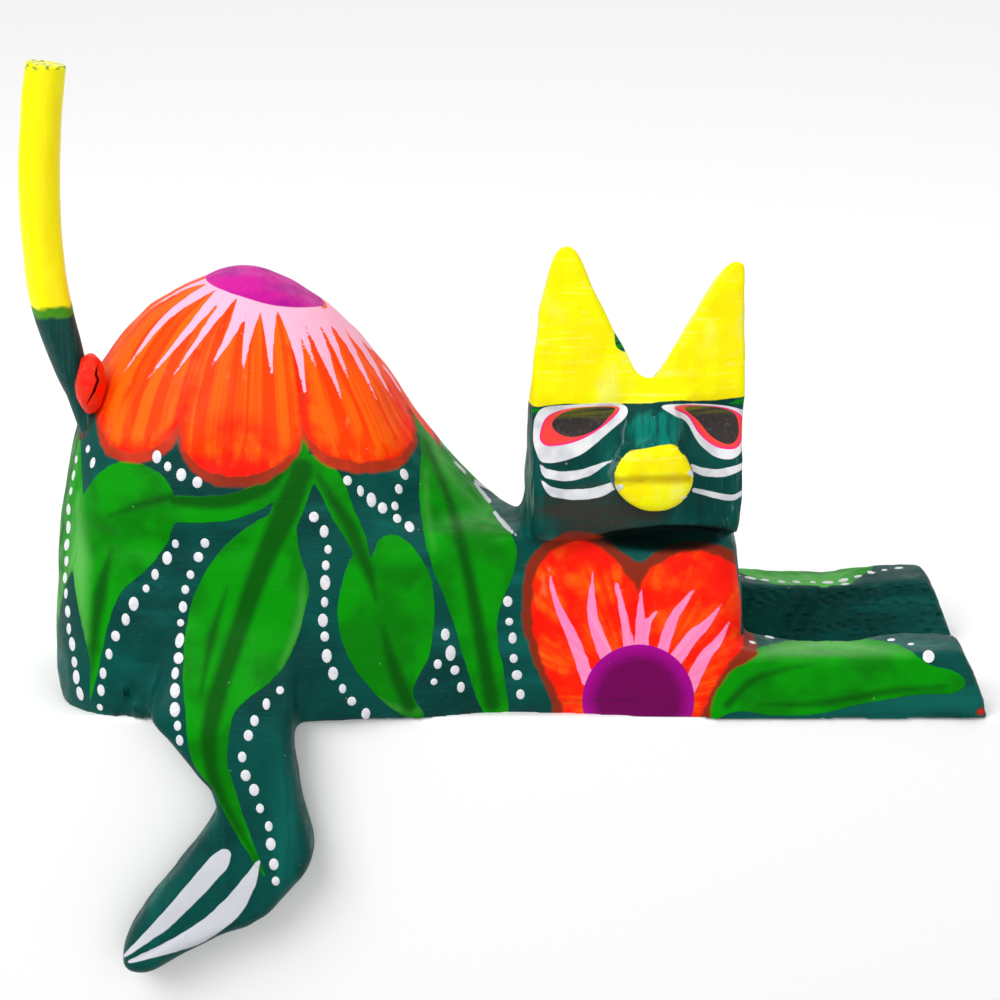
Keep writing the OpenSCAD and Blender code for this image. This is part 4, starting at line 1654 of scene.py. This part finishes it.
    def build(self, carving: "Carving") -> Piece:
        """Parts the head from the carving and paints it.

        Args:
            carving: The whole figure's skin.

        Returns:
            The finished piece.
        """
        left = carving.torso.seat_from
        head = carving.part("head_carving", block("around", (left - 1.4, -60, 34.4), (70, 30, 120)))
        recast(head, self.grain, 1)
        roughen(head, "VORONOI", 5, 0.2)
        self.carve(Skin(head))
        work_in(head, block("above", (left, -70, self.bottom), (80, 40, 130)), Joinery.KEEP_COMMON)
        self.paint(Skin(head), carving)
        dress(head, CarvedPaint("head_acrylic", grain_stretch=(1, 1, 9), flower=True, face=True).make())
        hand_over(head, FIGURE, "head_paint", "head")
        return head

    def carve(self, skin: Skin) -> None:
        """Hollows the eyes, creases the snout and flattens the cheeks.

        Args:
            skin: The head's skin.
        """
        skin.dent((14.5, -30.7, 58.5), (8.5, 4, 5.5), 0.9)
        skin.dent((40.5, -26.7, 58.0), (7, 4, 6), 0.9)
        x, y = self.world(np.array([-3.6, 0.8, 5.4]), np.full(3, -self.depth / 2 - 5.6))
        skin.groove([(x[i], y[i], z) for i, z in enumerate((50.3, 50.0, 50.4))], 1.8, 0.32)
        skin.dent((34.6, -31, 55.2), (1.5, 3, 1.2), 0.7)
        skin.dent((41, -28, 45), (6, 4, 4.5), 0.5)
        skin.dent((11, -31, 43), (7, 4, 4), 0.4)
        skin.dent((24.6, -30, 75), (1.4, 5, 3), 0.35)

    def paint(self, skin: Skin, carving: "Carving") -> None:
        """Paints the face, the ears and the back of the head, with painted shade under the chin and the snout
        and painted highlights on the nose bridge and the left side.

        Args:
            skin: The head's skin.
            carving: The whole figure, which knows the slot under the chin.
        """
        c, s = math.cos(math.radians(self.turn)), math.sin(math.radians(self.turn))
        x, y, z = skin.points.T
        forward = skin.facing[:, 0] * s - skin.facing[:, 1] * c
        leftward = -skin.facing[:, 0] * c - skin.facing[:, 1] * s
        MOTIFS.apply(skin)
        for channel in ("leaf", "vein", "light", "dash", "streak", "disc"):
            skin.paint[channel][:] = FAR_OUT
        # painted shade in the slot under the chin, carried by the dash channel
        skin.lay("dash", carving.slot_depth(skin))
        face = Paper(np.stack([x, z], axis=1), (forward > 0.3) & (y < -18))
        notch = Paper(face.flat, y < -20)
        face.flat[:, 1] += 0.5
        for channel, outline in self.face_shapes:
            skin.lay(channel, face.patch(outline))
        for hair in self.whiskers:
            skin.lay("whisker", face.stroke(hair))
        wave = 0.35 * np.sin(x * 0.35 + 0.6) + 0.25 * np.sin(y * 0.5)
        skin.lay("yellow", np.clip(z - 63.2 + wave, FAR_OUT, 6))
        snout_x, snout_y = self.world(np.array([self.snout_at[0]]), np.array([-self.depth / 2 - 3.2]))
        front = (x - snout_x[0]) * s - (y - snout_y[0]) * c
        disc = Paper(np.stack([x, z], axis=1), forward > 0.15)
        around = tuple((snout_x[0] + 1.02 * u, self.snout_at[1] + 1.02 * v) for u, v in self.snout_outline)
        skin.lay("yellow", np.minimum(disc.patch(around), front))
        for patch in self.green_patches:
            skin.lay("green", face.stroke(patch))
        skin.lay("green", notch.stroke(Stroke(((21.8, 77.6), (22.9, 75.4), (24.6, 74)), (1.2, 3.0, 2.0))))
        back = Paper(np.stack([x, z], axis=1), forward < -0.4)
        skin.paint_leaf(back, Leaf(((12, 40), (9, 46), (12, 54), (19, 59), (24, 60), (22, 52), (18, 44)),
                                   ((12, 40), (24, 60)),
                                   (Stroke(((12.5, 41), (18, 50), (23, 58)), (2.2, 1.8, 0.3)),)))
        skin.paint_leaf(back, Leaf(((36, 40), (40, 46), (38, 54), (31, 59), (26, 60), (28, 52), (31, 44)),
                                   ((36, 40), (26, 60)),
                                   (Stroke(((35.5, 41), (32, 50), (27, 58)), (2.2, 1.8, 0.3)),)))
        # painted sheen on the head's left side, which faces the key light, and a grey wash low on the right
        # of the face
        skin.paint["grey"] = np.clip(
            ease(leftward, 0.45, 0.9) * ease(z, 36, 44)
            + 0.75 * ease(x, 33, 44) * (forward > 0.3) * (z < 54), 0, 1
        )
        # painted shade under the snout
        skin.paint["brown"] = ease(face.spot((20, 43.4), (13, 5)), -2.5, 2.5)
        # painted highlight on the nose bridge
        skin.paint["bare"] = ease(face.spot((29.5, 59), (7, 5)), -1.5, 3.0)
        skin.store((*CARVED_CHANNELS, "eye", "mark"))


# ---- hanging leg


@dataclass
class HangingLeg:
    """The near hind leg: thigh, shank and foot in one flat carving that hangs below the shelf."""

    side_view: Path = (
        (-67.5, 3), (-65.5, 11), (-62, 19), (-57, 25), (-50, 28), (-43.5, 25.5), (-39, 18), (-38.8, 8),
        (-39.9, -2), (-39.3, -10), (-38, -18), (-36.4, -23.5), (-36.7, -27.5), (-40.4, -32.4),
        (-46.8, -39.8), (-53, -42), (-61, -45.8), (-68.5, -50), (-72.6, -50), (-74, -48.5), (-73.3, -44),
        (-70, -38.5), (-65, -32), (-59, -24), (-55.9, -18.5), (-55.9, -13), (-57.3, -10.5), (-63.2, -2.5),
    )
    back: float = -28.8
    front: float = -37.8
    grain: float = 0.4

    def outline(self, grow: float = 0.0) -> np.ndarray:
        """The leg's outline as a smooth loop, anticlockwise, moved outwards by a margin."""
        line = smooth_path(self.side_view, closed=True, steps=4)[::-1]
        return grown(line, grow)

    def prism(self, name: str, grow: float, back: float) -> Piece:
        """The tool that parts the leg from the body, clear of the leg's own sides below the body.

        Args:
            name: Name of the tool.
            grow: How far it stands outside the thigh's outline.
            back: The y of its back face.

        Returns:
            The solid.
        """
        line = self.outline()
        clear = 3.5 * (1 - ease(line[:, 1], -2.5, 2.5))
        outline = grown(line, grow + clear)
        return loft(name, [upright(outline, back), upright(outline, back - 40)])

    def blank(self) -> Piece:
        """The leg's block, with the thigh pared down until it is flush with the body."""
        rings = [upright(self.outline(inset), depth) for inset, depth in (
            (0.0, self.back + 2), (0.0, -35.2), (-0.5, -36.4), (-1.3, -37.2), (-2.2, self.front))]
        leg = loft("leg_blank", rings)
        recast(leg, 0.5, 3)
        skin = Skin(leg)
        _, y, z = skin.points.T
        skin.points[:, 1] += 7.4 * ease(z, -3, 25) * ease(y, -29, -35)
        skin.write()
        work_in(leg, block("behind", (-100, -28, -60), (0, 10, -0.1)))
        return leg

    def paste(self, carving: "Carving") -> Piece:
        """The bed of paste round and behind the thigh, sanded flush and painted over.

        Args:
            carving: The whole figure's skin.

        Returns:
            The finished piece.
        """
        bed = carving.part("leg_paste_bed", self.prism("bed", 0.6, self.back + 0.8))
        work_in(bed, self.prism("leg_hollow", 0.0, self.back))
        work_in(bed, block("low", (-100, -60, -80), (0, 0, -0.6)))
        return seam(bed, "leg_filler", carving)

    def build(self, carving: "Carving") -> Piece:
        """Parts the leg from the carving and paints it.

        Args:
            carving: The whole figure's skin.

        Returns:
            The finished piece.
        """
        leg = carving.part("leg_carving", self.prism("around", 1.4, self.back + 1.4))
        recast(leg, self.grain, 1)
        skin = Skin(leg)
        skin.dent((-56, -33, -16.5), (2.4, 8, 3.6), 0.8)
        skin.dent((-52, -38, -14), (4, 4, 8), 0.5)
        skin.dent((-47, -33, -40), (3, 8, 2), 0.4)
        skin.groove([(-73.5, -37.5, -47.6), (-66, -37.8, -43.6), (-58, -38, -37.5)], 1.2, 0.35)
        work_in(leg, self.prism("own", 0.0, self.back), Joinery.KEEP_COMMON)
        skin = Skin(leg)
        MOTIFS.apply(skin)
        paper = skin.side(Side.NEAR)
        for toe in (
            Stroke(((-53.2, -27), (-54.6, -28.9), (-58.8, -33.9), (-65.5, -41.3), (-73.6, -48.6)),
                   (2.6, 4.0, 3.8, 3.0, 0.6)),
            Stroke(((-46.6, -28.4), (-48.8, -33), (-52.6, -38.6), (-60, -44.4), (-72.5, -49.6)),
                   (0.7, 3.0, 4.4, 3.8, 0.7)),
        ):
            skin.lay("dash", paper.stroke(toe))
        skin.store(CARVED_CHANNELS)
        dress(leg, CarvedPaint("leg_acrylic", grain_stretch=(1, 1, 9), flower=True).make())
        hand_over(leg, FIGURE, "leg_paint", "hanging_leg")
        return leg


# ---- tail


@dataclass
class Tail:
    """The whittled twig with its tenon, and the lump of paste at its root."""

    torso: Torso
    depth: float = -11.0
    line: tuple[Triple, ...] = (
        (-85.2, 124.5, 3.8), (-86, 119, 3.9), (-86.7, 112, 3.9), (-87.4, 102, 4.0), (-87.4, 92, 3.9),
        (-86.8, 83, 3.9), (-85.6, 76, 3.8), (-84, 70, 3.5), (-82.6, 64.6, 3.0), (-81.4, 60.6, 2.4),
    )
    tenon: float = 2.5
    lump_centre: Triple = (-78.7, -14.6, 63.4)
    lump_radii: Triple = (2.9, 4.0, 6.0)

    def twig(self, grow: float = 0.0, count: int = 36) -> Piece:
        """The twig above its tenon, with the flats that the knife left.

        Args:
            grow: How far its skin is moved outwards.
            count: Points round it.

        Returns:
            The solid.
        """
        path = smooth_path(tuple(self.line), steps=6)
        turn = np.arange(count) / count * 2 * np.pi
        ways = np.gradient(path[:, :2], axis=0)
        ways /= np.linalg.norm(ways, axis=1)[:, None]
        rings = []
        for (x, z, radius), (run, rise) in zip(path, ways):
            flats = 1 + 0.022 * np.cos(5 * turn + z * 0.05) + 0.012 * np.sin(3 * turn + z * 0.16)
            out = (radius + grow) * flats
            ring = np.stack([x - out * np.cos(turn) * rise, self.depth - out * np.sin(turn),
                             z + out * np.cos(turn) * run], axis=1)
            rings.append(ring)
        return loft("tail_twig", rings)

    def build(self) -> Piece:
        """Whittles and paints the tail.

        Returns:
            The finished piece.
        """
        tail = self.twig()
        work_in(tail, self.torso.body(0.55))
        recast(tail, 0.34, 3)
        work_in(tail, rod("tenon", self.torso.axis(14.4), self.torso.axis(-7.5), self.tenon), Joinery.ADD)
        recast(tail, 0.3, 2)
        roughen(tail, "CLOUDS", 7, 0.22)
        skin = Skin(tail)
        skin.groove([(-88.5, -14.5, 76), (-87, -14.6, 70), (-84.2, -13.6, 64)], 0.9, 0.22)
        skin.groove([(-83, -14, 78), (-81.6, -14.2, 71)], 0.8, 0.15)
        skin.dent((-86, -15, 104), (3, 3, 6), 0.12)
        dress(tail, TwigPaint().make())
        hand_over(tail, TAIL_BODY, "tail_paint", "tail")
        return tail

    def lump(self) -> Piece:
        """The thumbed lump of paste beside the tail, cracked away from the rump.

        Returns:
            The finished piece.
        """
        lump = ball("tail_paste_lump", self.lump_centre, self.lump_radii, 20)
        recast(lump, 0.3, 3)
        roughen(lump, "CLOUDS", 4, 0.9)
        work_in(lump, self.twig(0.0))
        work_in(lump, self.torso.body(0.3))
        recast(lump, 0.24, 3)
        roughen(lump, "CLOUDS", 1.6, 0.25)
        crack = np.array(((-76.9, 67.9), (-77.5, 65.9), (-77.1, 64.9), (-77.8, 63), (-79.3, 59.9),
                          (-77.3, 62.8), (-76.6, 64.9), (-77.0, 66)))
        work_in(lump, loft("crack", [upright(crack, -25), upright(crack, -13.5)]))
        dress(lump, PastePaint("lump_paint", POTS.red, tone(226, 44, 12), POTS.edge_brown).make())
        hand_over(lump, TAIL_BODY, "filler_paint", "tail_filler")
        return lump


# ---- neck bed, pegs and dots


def seam(bed: Piece, node: str, carving: "Carving") -> Piece:
    """Paints a bed of paste like the body on both sides of it.

    Args:
        bed: The bed.
        node: The plain solid that it stands for.
        carving: The whole figure, which knows the slot under the chin.

    Returns:
        The finished piece.
    """
    skin = Skin(bed)
    MOTIFS.apply(skin)
    # painted shade in the slot under the chin
    skin.paint["grey"] = ease(carving.slot_depth(skin), -0.5, 1.2)
    skin.store(CARVED_CHANNELS)
    dress(bed, bpy.data.materials["body_acrylic"])
    hand_over(bed, FIGURE, "seam_paste", node)
    return bed


@dataclass
class Carving:
    """The figure as the knife left it: one continuous skin, which is then parted along its seams."""

    torso: Torso
    head: Head
    leg: HangingLeg
    grain: float = 0.67
    slot_centre: Triple = (32.4, -31.0, 35.9)
    slot_radii: Triple = (15.2, 12.0, 2.9)
    skin: Piece | None = None

    def build(self) -> None:
        """Fuses the blanks, rubs them down and cuts everything that crosses a seam."""
        skin = fuse("figure_carving", self.torso.blank(), self.head.blank(), self.leg.blank())
        recast(skin, self.grain, 2)
        apply_modifier(skin, "SMOOTH", factor=0.5, iterations=36, vertex_group=self.mark_rubbed(skin))
        apply_modifier(skin, "SMOOTH", factor=0.5, iterations=110, vertex_group=self.mark_shoulder(skin))
        work_in(skin, ball("slot", self.slot_centre, self.slot_radii))
        recast(skin, self.grain, 2)
        roughen(skin, "CLOUDS", 14, 0.9)
        roughen(skin, "VORONOI", 9, 0.4)
        self.torso.carve(Skin(skin))
        self.skin = skin

    def slot_depth(self, skin: Skin) -> np.ndarray:
        """How deep each point lies inside the slot under the chin, and a little round it: where the shade in
        the slot is painted.
        """
        off = (skin.points - np.array(self.slot_centre)) / np.array(self.slot_radii)
        return np.maximum((1.12 - np.linalg.norm(off, axis=1)) * 6, FAR_OUT)

    def mark_rubbed(self, skin: Piece) -> str:
        """Marks the rump, the back and the join of the thigh, which are rubbed smoother than the rest.

        Args:
            skin: The whole skin.

        Returns:
            The name of the group of points.
        """
        x, y, z = Skin(skin).points.T
        back = ease(z, 10, 24) * ease(x, 11, 3) * (z < 52 + 30 * (x < 2))
        thigh = ease(y, -24, -28) * ease(z, -9, -2) * ease(x, -28, -33) * ease(x, -82, -78)
        return self.mark(skin, "rubbed", np.maximum(back, 0.6 * thigh))

    def mark_shoulder(self, skin: Piece) -> str:
        """Marks the near shoulder, where the ridge of the back runs out into the flank."""
        x, y, z = Skin(skin).points.T
        near = ease(y, -3, -12) * ease(z, 27, 34) * ease(z, 60, 52) * ease(x, -30, -22) * ease(x, 2.5, -2)
        return self.mark(skin, "shoulder", near)

    def mark(self, skin: Piece, name: str, shares: np.ndarray) -> str:
        """Names a group of points and gives each its share in it."""
        group = skin.vertex_groups.new(name=name)
        for index in np.flatnonzero(shares > 0.01):
            group.add([int(index)], float(shares[index]), "REPLACE")
        return group.name

    def part(self, name: str, tool: Piece | None = None) -> Piece:
        """Takes a copy of the skin, or of what a tool holds of it.

        Args:
            name: Name of the part.
            tool: A solid that the part is kept inside; it is used up.

        Returns:
            The part.
        """
        part = self.skin.copy()
        part.data = self.skin.data.copy()
        part.name = name
        bpy.context.collection.objects.link(part)
        if tool:
            work_in(part, tool, Joinery.KEEP_COMMON)
        return part

    def neck_bed(self) -> Piece:
        """The bed of paste between the head and the shoulders, sanded flush and painted over."""
        low, high = self.torso.seat_height, self.head.bottom
        tool = block("bed", (self.torso.seat_from, -60, low), (70, 60, high))
        return seam(self.part("neck_paste_bed", tool), "neck_filler", self)


@dataclass
class Dots:
    """The rows of white dots, each a low dome of thick paint that sits on the skin under it."""

    skins: tuple[Piece, ...]
    near_rows: tuple[DotRow, ...] = (
        DotRow(((-82.5, 52.5), (-84.3, 38), (-84.1, 22), (-82, 5)), 15),
        DotRow(((-79.7, 54.8), (-78.3, 51.5)), 2), DotRow(((-65.4, 53), (-62.5, 50.4), (-57.3, 47.8)), 4),
        DotRow(((-61.6, 35.6), (-67.3, 27.6), (-73, 18.7), (-76.6, 9.5), (-77.8, 2.4)), 11),
        DotRow(((-56.2, 35.8), (-60, 26), (-61.2, 15), (-62.2, 5), (-61, -3.5)), 13),
        DotRow(((-35.5, 41.2), (-33, 37), (-33, 29), (-33.8, 20), (-33, 12), (-30, 6), (-26, 1.4)), 13),
        DotRow(((-41.8, 6.8), (-47, 0), (-49.1, -8), (-47.3, -13.5), (-44.4, -22), (-43.2, -32.4)), 12),
        DotRow(((-28.9, 48.3), (-24, 44), (-17.4, 39)), 6), DotRow(((-18.3, 49.6), (-20.3, 43)), 3),
        DotRow(((-10.6, 17.4), (-7.6, 6.6)), 4), DotRow(((-11.8, 11.4), (-12.6, 7.8)), 2),
        DotRow(((1.5, 24), (2.5, 15), (4, 5)), 6), DotRow(((49, 15.5), (53, 16.3), (56.5, 16.4)), 3, 1.7),
        DotRow(((69, 16.8), (74.7, 16.2), (79.8, 15.2)), 4, 1.7), DotRow(((82.4, 13), (82.6, 13)), 1, 2.8),
    )
    far_rows: tuple[DotRow, ...] = (
        DotRow(((-82.5, 52.5), (-84.3, 38), (-84.1, 22), (-82, 5)), 14),
        DotRow(((-61.6, 35.6), (-67.3, 27.6), (-73, 18.7), (-76.6, 9.5)), 9),
        DotRow(((-65.4, 50), (-62.5, 48.4), (-57.3, 46.8)), 4), near_rows[5],
        DotRow(((-28.9, 47.3), (-24, 43), (-17.4, 38)), 6), near_rows[9], near_rows[11],
        DotRow(((69, 16), (78, 15)), 4, 1.7),
    )
    paw_row: DotRow = DotRow(((49, 21.5), (60, 20), (71, 20.4), (84, 25)), 12, 2.0)
    height: float = 0.2
    seed: int = 12

    def dome(self) -> Piece:
        """The one dome that every dot is a copy of, 1 mm in radius."""
        put_down()
        bpy.ops.mesh.primitive_uv_sphere_add(segments=12, ring_count=8, radius=MM)
        dome = bpy.context.object
        dome.name = "dot_dome"
        dome.scale = (1, 1, self.height)
        settle(dome)
        bpy.ops.object.mode_set(mode="EDIT")
        bpy.ops.mesh.select_all(action="SELECT")
        sunk = -self.height * math.sqrt(0.5) * MM
        bpy.ops.mesh.bisect(
            plane_co=(0, 0, sunk), plane_no=(0, 0, 1), clear_inner=True, use_fill=True, threshold=0.001 * MM
        )
        bpy.ops.object.mode_set(mode="OBJECT")
        return dome

    def sight(self, place: Point, side: Side) -> tuple[Vector, Vector]:
        """The painter's line of sight to a place on one side, as a start and a direction."""
        way = Vector((0, -side.value * math.cos(SIGHT_TILT), -math.sin(SIGHT_TILT)))
        return Vector((place[0], side.value * TRUE_DEPTH, place[1])) * MM - way * 0.1, way

    def build(self) -> None:
        """Sets every dot on the skin that it lands on, and joins them by piece."""
        draw = np.random.default_rng(self.seed)
        dome = self.dome()
        graph = bpy.context.evaluated_depsgraph_get()
        trees = [BVHTree.FromObject(skin, graph) for skin in self.skins]
        placed: dict[int, list[Piece]] = {index: [] for index in range(len(trees))}
        down = Vector((0, 0, -1))
        lines = [(row, Side.NEAR) for row in self.near_rows] + [(row, Side.FAR) for row in self.far_rows]
        lines.append((self.paw_row, None))
        for row, side in lines:
            path = smooth_path(row.points, steps=12)
            run = np.concatenate([[0], np.cumsum(np.linalg.norm(np.diff(path, axis=0), axis=1))])
            for stop in np.linspace(0, run[-1], row.count) if row.count > 1 else [0.0]:
                stop += draw.uniform(-0.35, 0.35)
                place = (np.interp(stop, run, path[:, 0]) + draw.uniform(-0.25, 0.25),
                         np.interp(stop, run, path[:, 1]))
                start, way = (self.sight(place, side) if side
                              else (Vector((place[0], place[1], 40)) * MM, down))
                size = row.size * draw.uniform(0.62, 0.94) / 2
                longer = draw.uniform(1.0, 1.55)
                hits = [(tree.ray_cast(start, way), index) for index, tree in enumerate(trees)]
                hits = [(hit, index) for hit, index in hits if hit[0] is not None]
                if not hits:
                    continue
                (spot, facing, _, _), index = min(hits, key=lambda found: found[0][3])
                if side and spot.y * side.value < 10 * MM:
                    continue
                dot = dome.copy()
                dot.data = dome.data.copy()
                bpy.context.collection.objects.link(dot)
                turn = facing.to_track_quat("Z", "Y").to_matrix().to_4x4()
                shape = Matrix.Diagonal((size, size * longer, draw.uniform(0.8, 1.1), 1))
                dot.matrix_world = Matrix.Translation(spot) @ turn @ shape
                placed[index].append(dot)
        finish = DotPaint().make()
        bpy.data.objects.remove(dome)
        for index, (name, slot) in enumerate((("body_dots", "body_paint"), ("leg_dots", "leg_paint"))):
            if not placed[index]:
                continue
            take_up(*placed[index])
            bpy.ops.object.join()
            dots = bpy.context.object
            dots.name = name
            settle(dots)
            dress(dots, finish)
            hand_over(dots, FIGURE, slot)


@dataclass(frozen=True)
class Studio:
    """The shelf that the figure lies on, the soft lights and the camera."""

    shelf_front: float = -0.0275
    shelf_reach: float = 4.0
    shelf_drop: float = 0.7
    target: Triple = (0.0, 0.0, 0.036)
    distance: float = 0.56
    lens: float = 100.8

    def build(self) -> None:
        """Sets up the shelf, the lights and the camera."""
        self.camera()
        self.shelf()
        for name, place, size, power in (
            ("key_window", (-0.55, -0.75, 0.75), 0.7, 9.0),
            ("front_fill", (0.5, -1.0, 0.35), 0.9, 2.0),
            ("top_soft", (0.0, 0.5, 2.4), 3.2, 22.0),
            ("back_fill", (0.3, 3.2, 2.0), 2.4, 14.0),
        ):
            self.light(name, place, size, power)
        world = bpy.data.worlds.new("studio_air")
        bpy.context.scene.world = world
        world.use_nodes = True
        air = world.node_tree.nodes["Background"]
        air.inputs["Color"].default_value = (1.0, 1.0, 1.0, 1.0)
        air.inputs["Strength"].default_value = 0.56

    def camera(self) -> None:
        """Places the camera on the painter's own line of sight."""
        data = bpy.data.cameras.new("studio_camera")
        data.lens = self.lens
        data.sensor_width = 36.0
        data.clip_start = 0.01
        camera = bpy.data.objects.new("studio_camera", data)
        bpy.context.collection.objects.link(camera)
        back = Vector((0, -math.cos(SIGHT_TILT), math.sin(SIGHT_TILT)))
        camera.location = Vector(self.target) + back * self.distance
        camera.rotation_euler = (math.pi / 2 - SIGHT_TILT, 0, 0)
        bpy.context.scene.camera = camera

    def shelf(self) -> None:
        """A plain pale shelf whose front edge runs under the near side of the body."""
        put_down()
        reach = self.shelf_reach
        middle = (0, self.shelf_front + reach / 2, -self.shelf_drop / 2)
        bpy.ops.mesh.primitive_cube_add(size=1, location=middle)
        shelf = bpy.context.object
        shelf.name = "pale_shelf"
        shelf.scale = (2 * reach, reach, self.shelf_drop)
        settle(shelf)
        apply_modifier(shelf, "BEVEL", width=0.0012, segments=3)
        graph = Graph("pale_shelf_paint")
        graph.shader.inputs["Base Color"].default_value = (0.97, 0.97, 0.97, 1.0)
        graph.shader.inputs["Roughness"].default_value = 0.85
        shelf.data.materials.append(graph.material)

    def light(self, name: str, place: Triple, size: float, power: float) -> None:
        """Hangs one soft light that looks at the figure.

        Args:
            name: Its name.
            place: Where it hangs, in metres.
            size: The side of its square.
            power: Its power in watts.
        """
        data = bpy.data.lights.new(name, "AREA")
        data.size = size
        data.energy = power
        lamp = bpy.data.objects.new(name, data)
        bpy.context.collection.objects.link(lamp)
        lamp.location = place
        lamp.rotation_euler = (Vector(self.target) - Vector(place)).to_track_quat("-Z", "Y").to_euler()


@dataclass
class Pegs:
    """The hidden pegs: one in the neck and two that carry the hanging leg."""

    places: tuple[Point, ...] = ((-57.0, 12.0), (-45.0, 14.0))
    radius: float = 1.98
    back: float = -21.1
    front: float = -31.2

    def build(self) -> None:
        """Whittles the leg's pegs and gives the neck's peg its bare wood."""
        rods = [rod("leg_peg", (x, self.back, z), (x, self.front, z), self.radius, self.radius * 0.96)
                for x, z in self.places]
        pegs = fuse("leg_peg_pair", *rods)
        apply_modifier(pegs, "BEVEL", width=0.3 * MM, segments=2, limit_method="ANGLE")
        dress(pegs, PegWood("leg_peg_wood", (1.0, 12.0, 1.0)).make())
        hand_over(pegs, FIGURE, "peg_wood", "leg_pegs")
        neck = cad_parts["neck_peg"]
        neck.data.materials.clear()
        neck.data.materials.append(PegWood("neck_peg_wood").make())
        LOG.info("%s: dressed in bare wood", neck.name)


def main() -> None:
    """Builds the figure piece by piece."""
    logging.basicConfig(level=logging.INFO, format="%(name)s: %(message)s")
    bpy.context.scene.view_settings.view_transform = "Standard"
    Studio().build()
    torso, head, leg = Torso(), Head(), HangingLeg()
    carving = Carving(torso, head, leg)
    carving.build()
    carved = torso.build(carving)
    head.build(carving)
    carving.neck_bed()
    leg_piece = leg.build(carving)
    leg.paste(carving)
    bpy.data.objects.remove(carving.skin)
    tail = Tail(torso)
    tail.build()
    tail.lump()
    Dots((carved, leg_piece)).build()
    Pegs().build()
    put_down()
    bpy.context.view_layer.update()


if __name__ == "__main__":
    main()
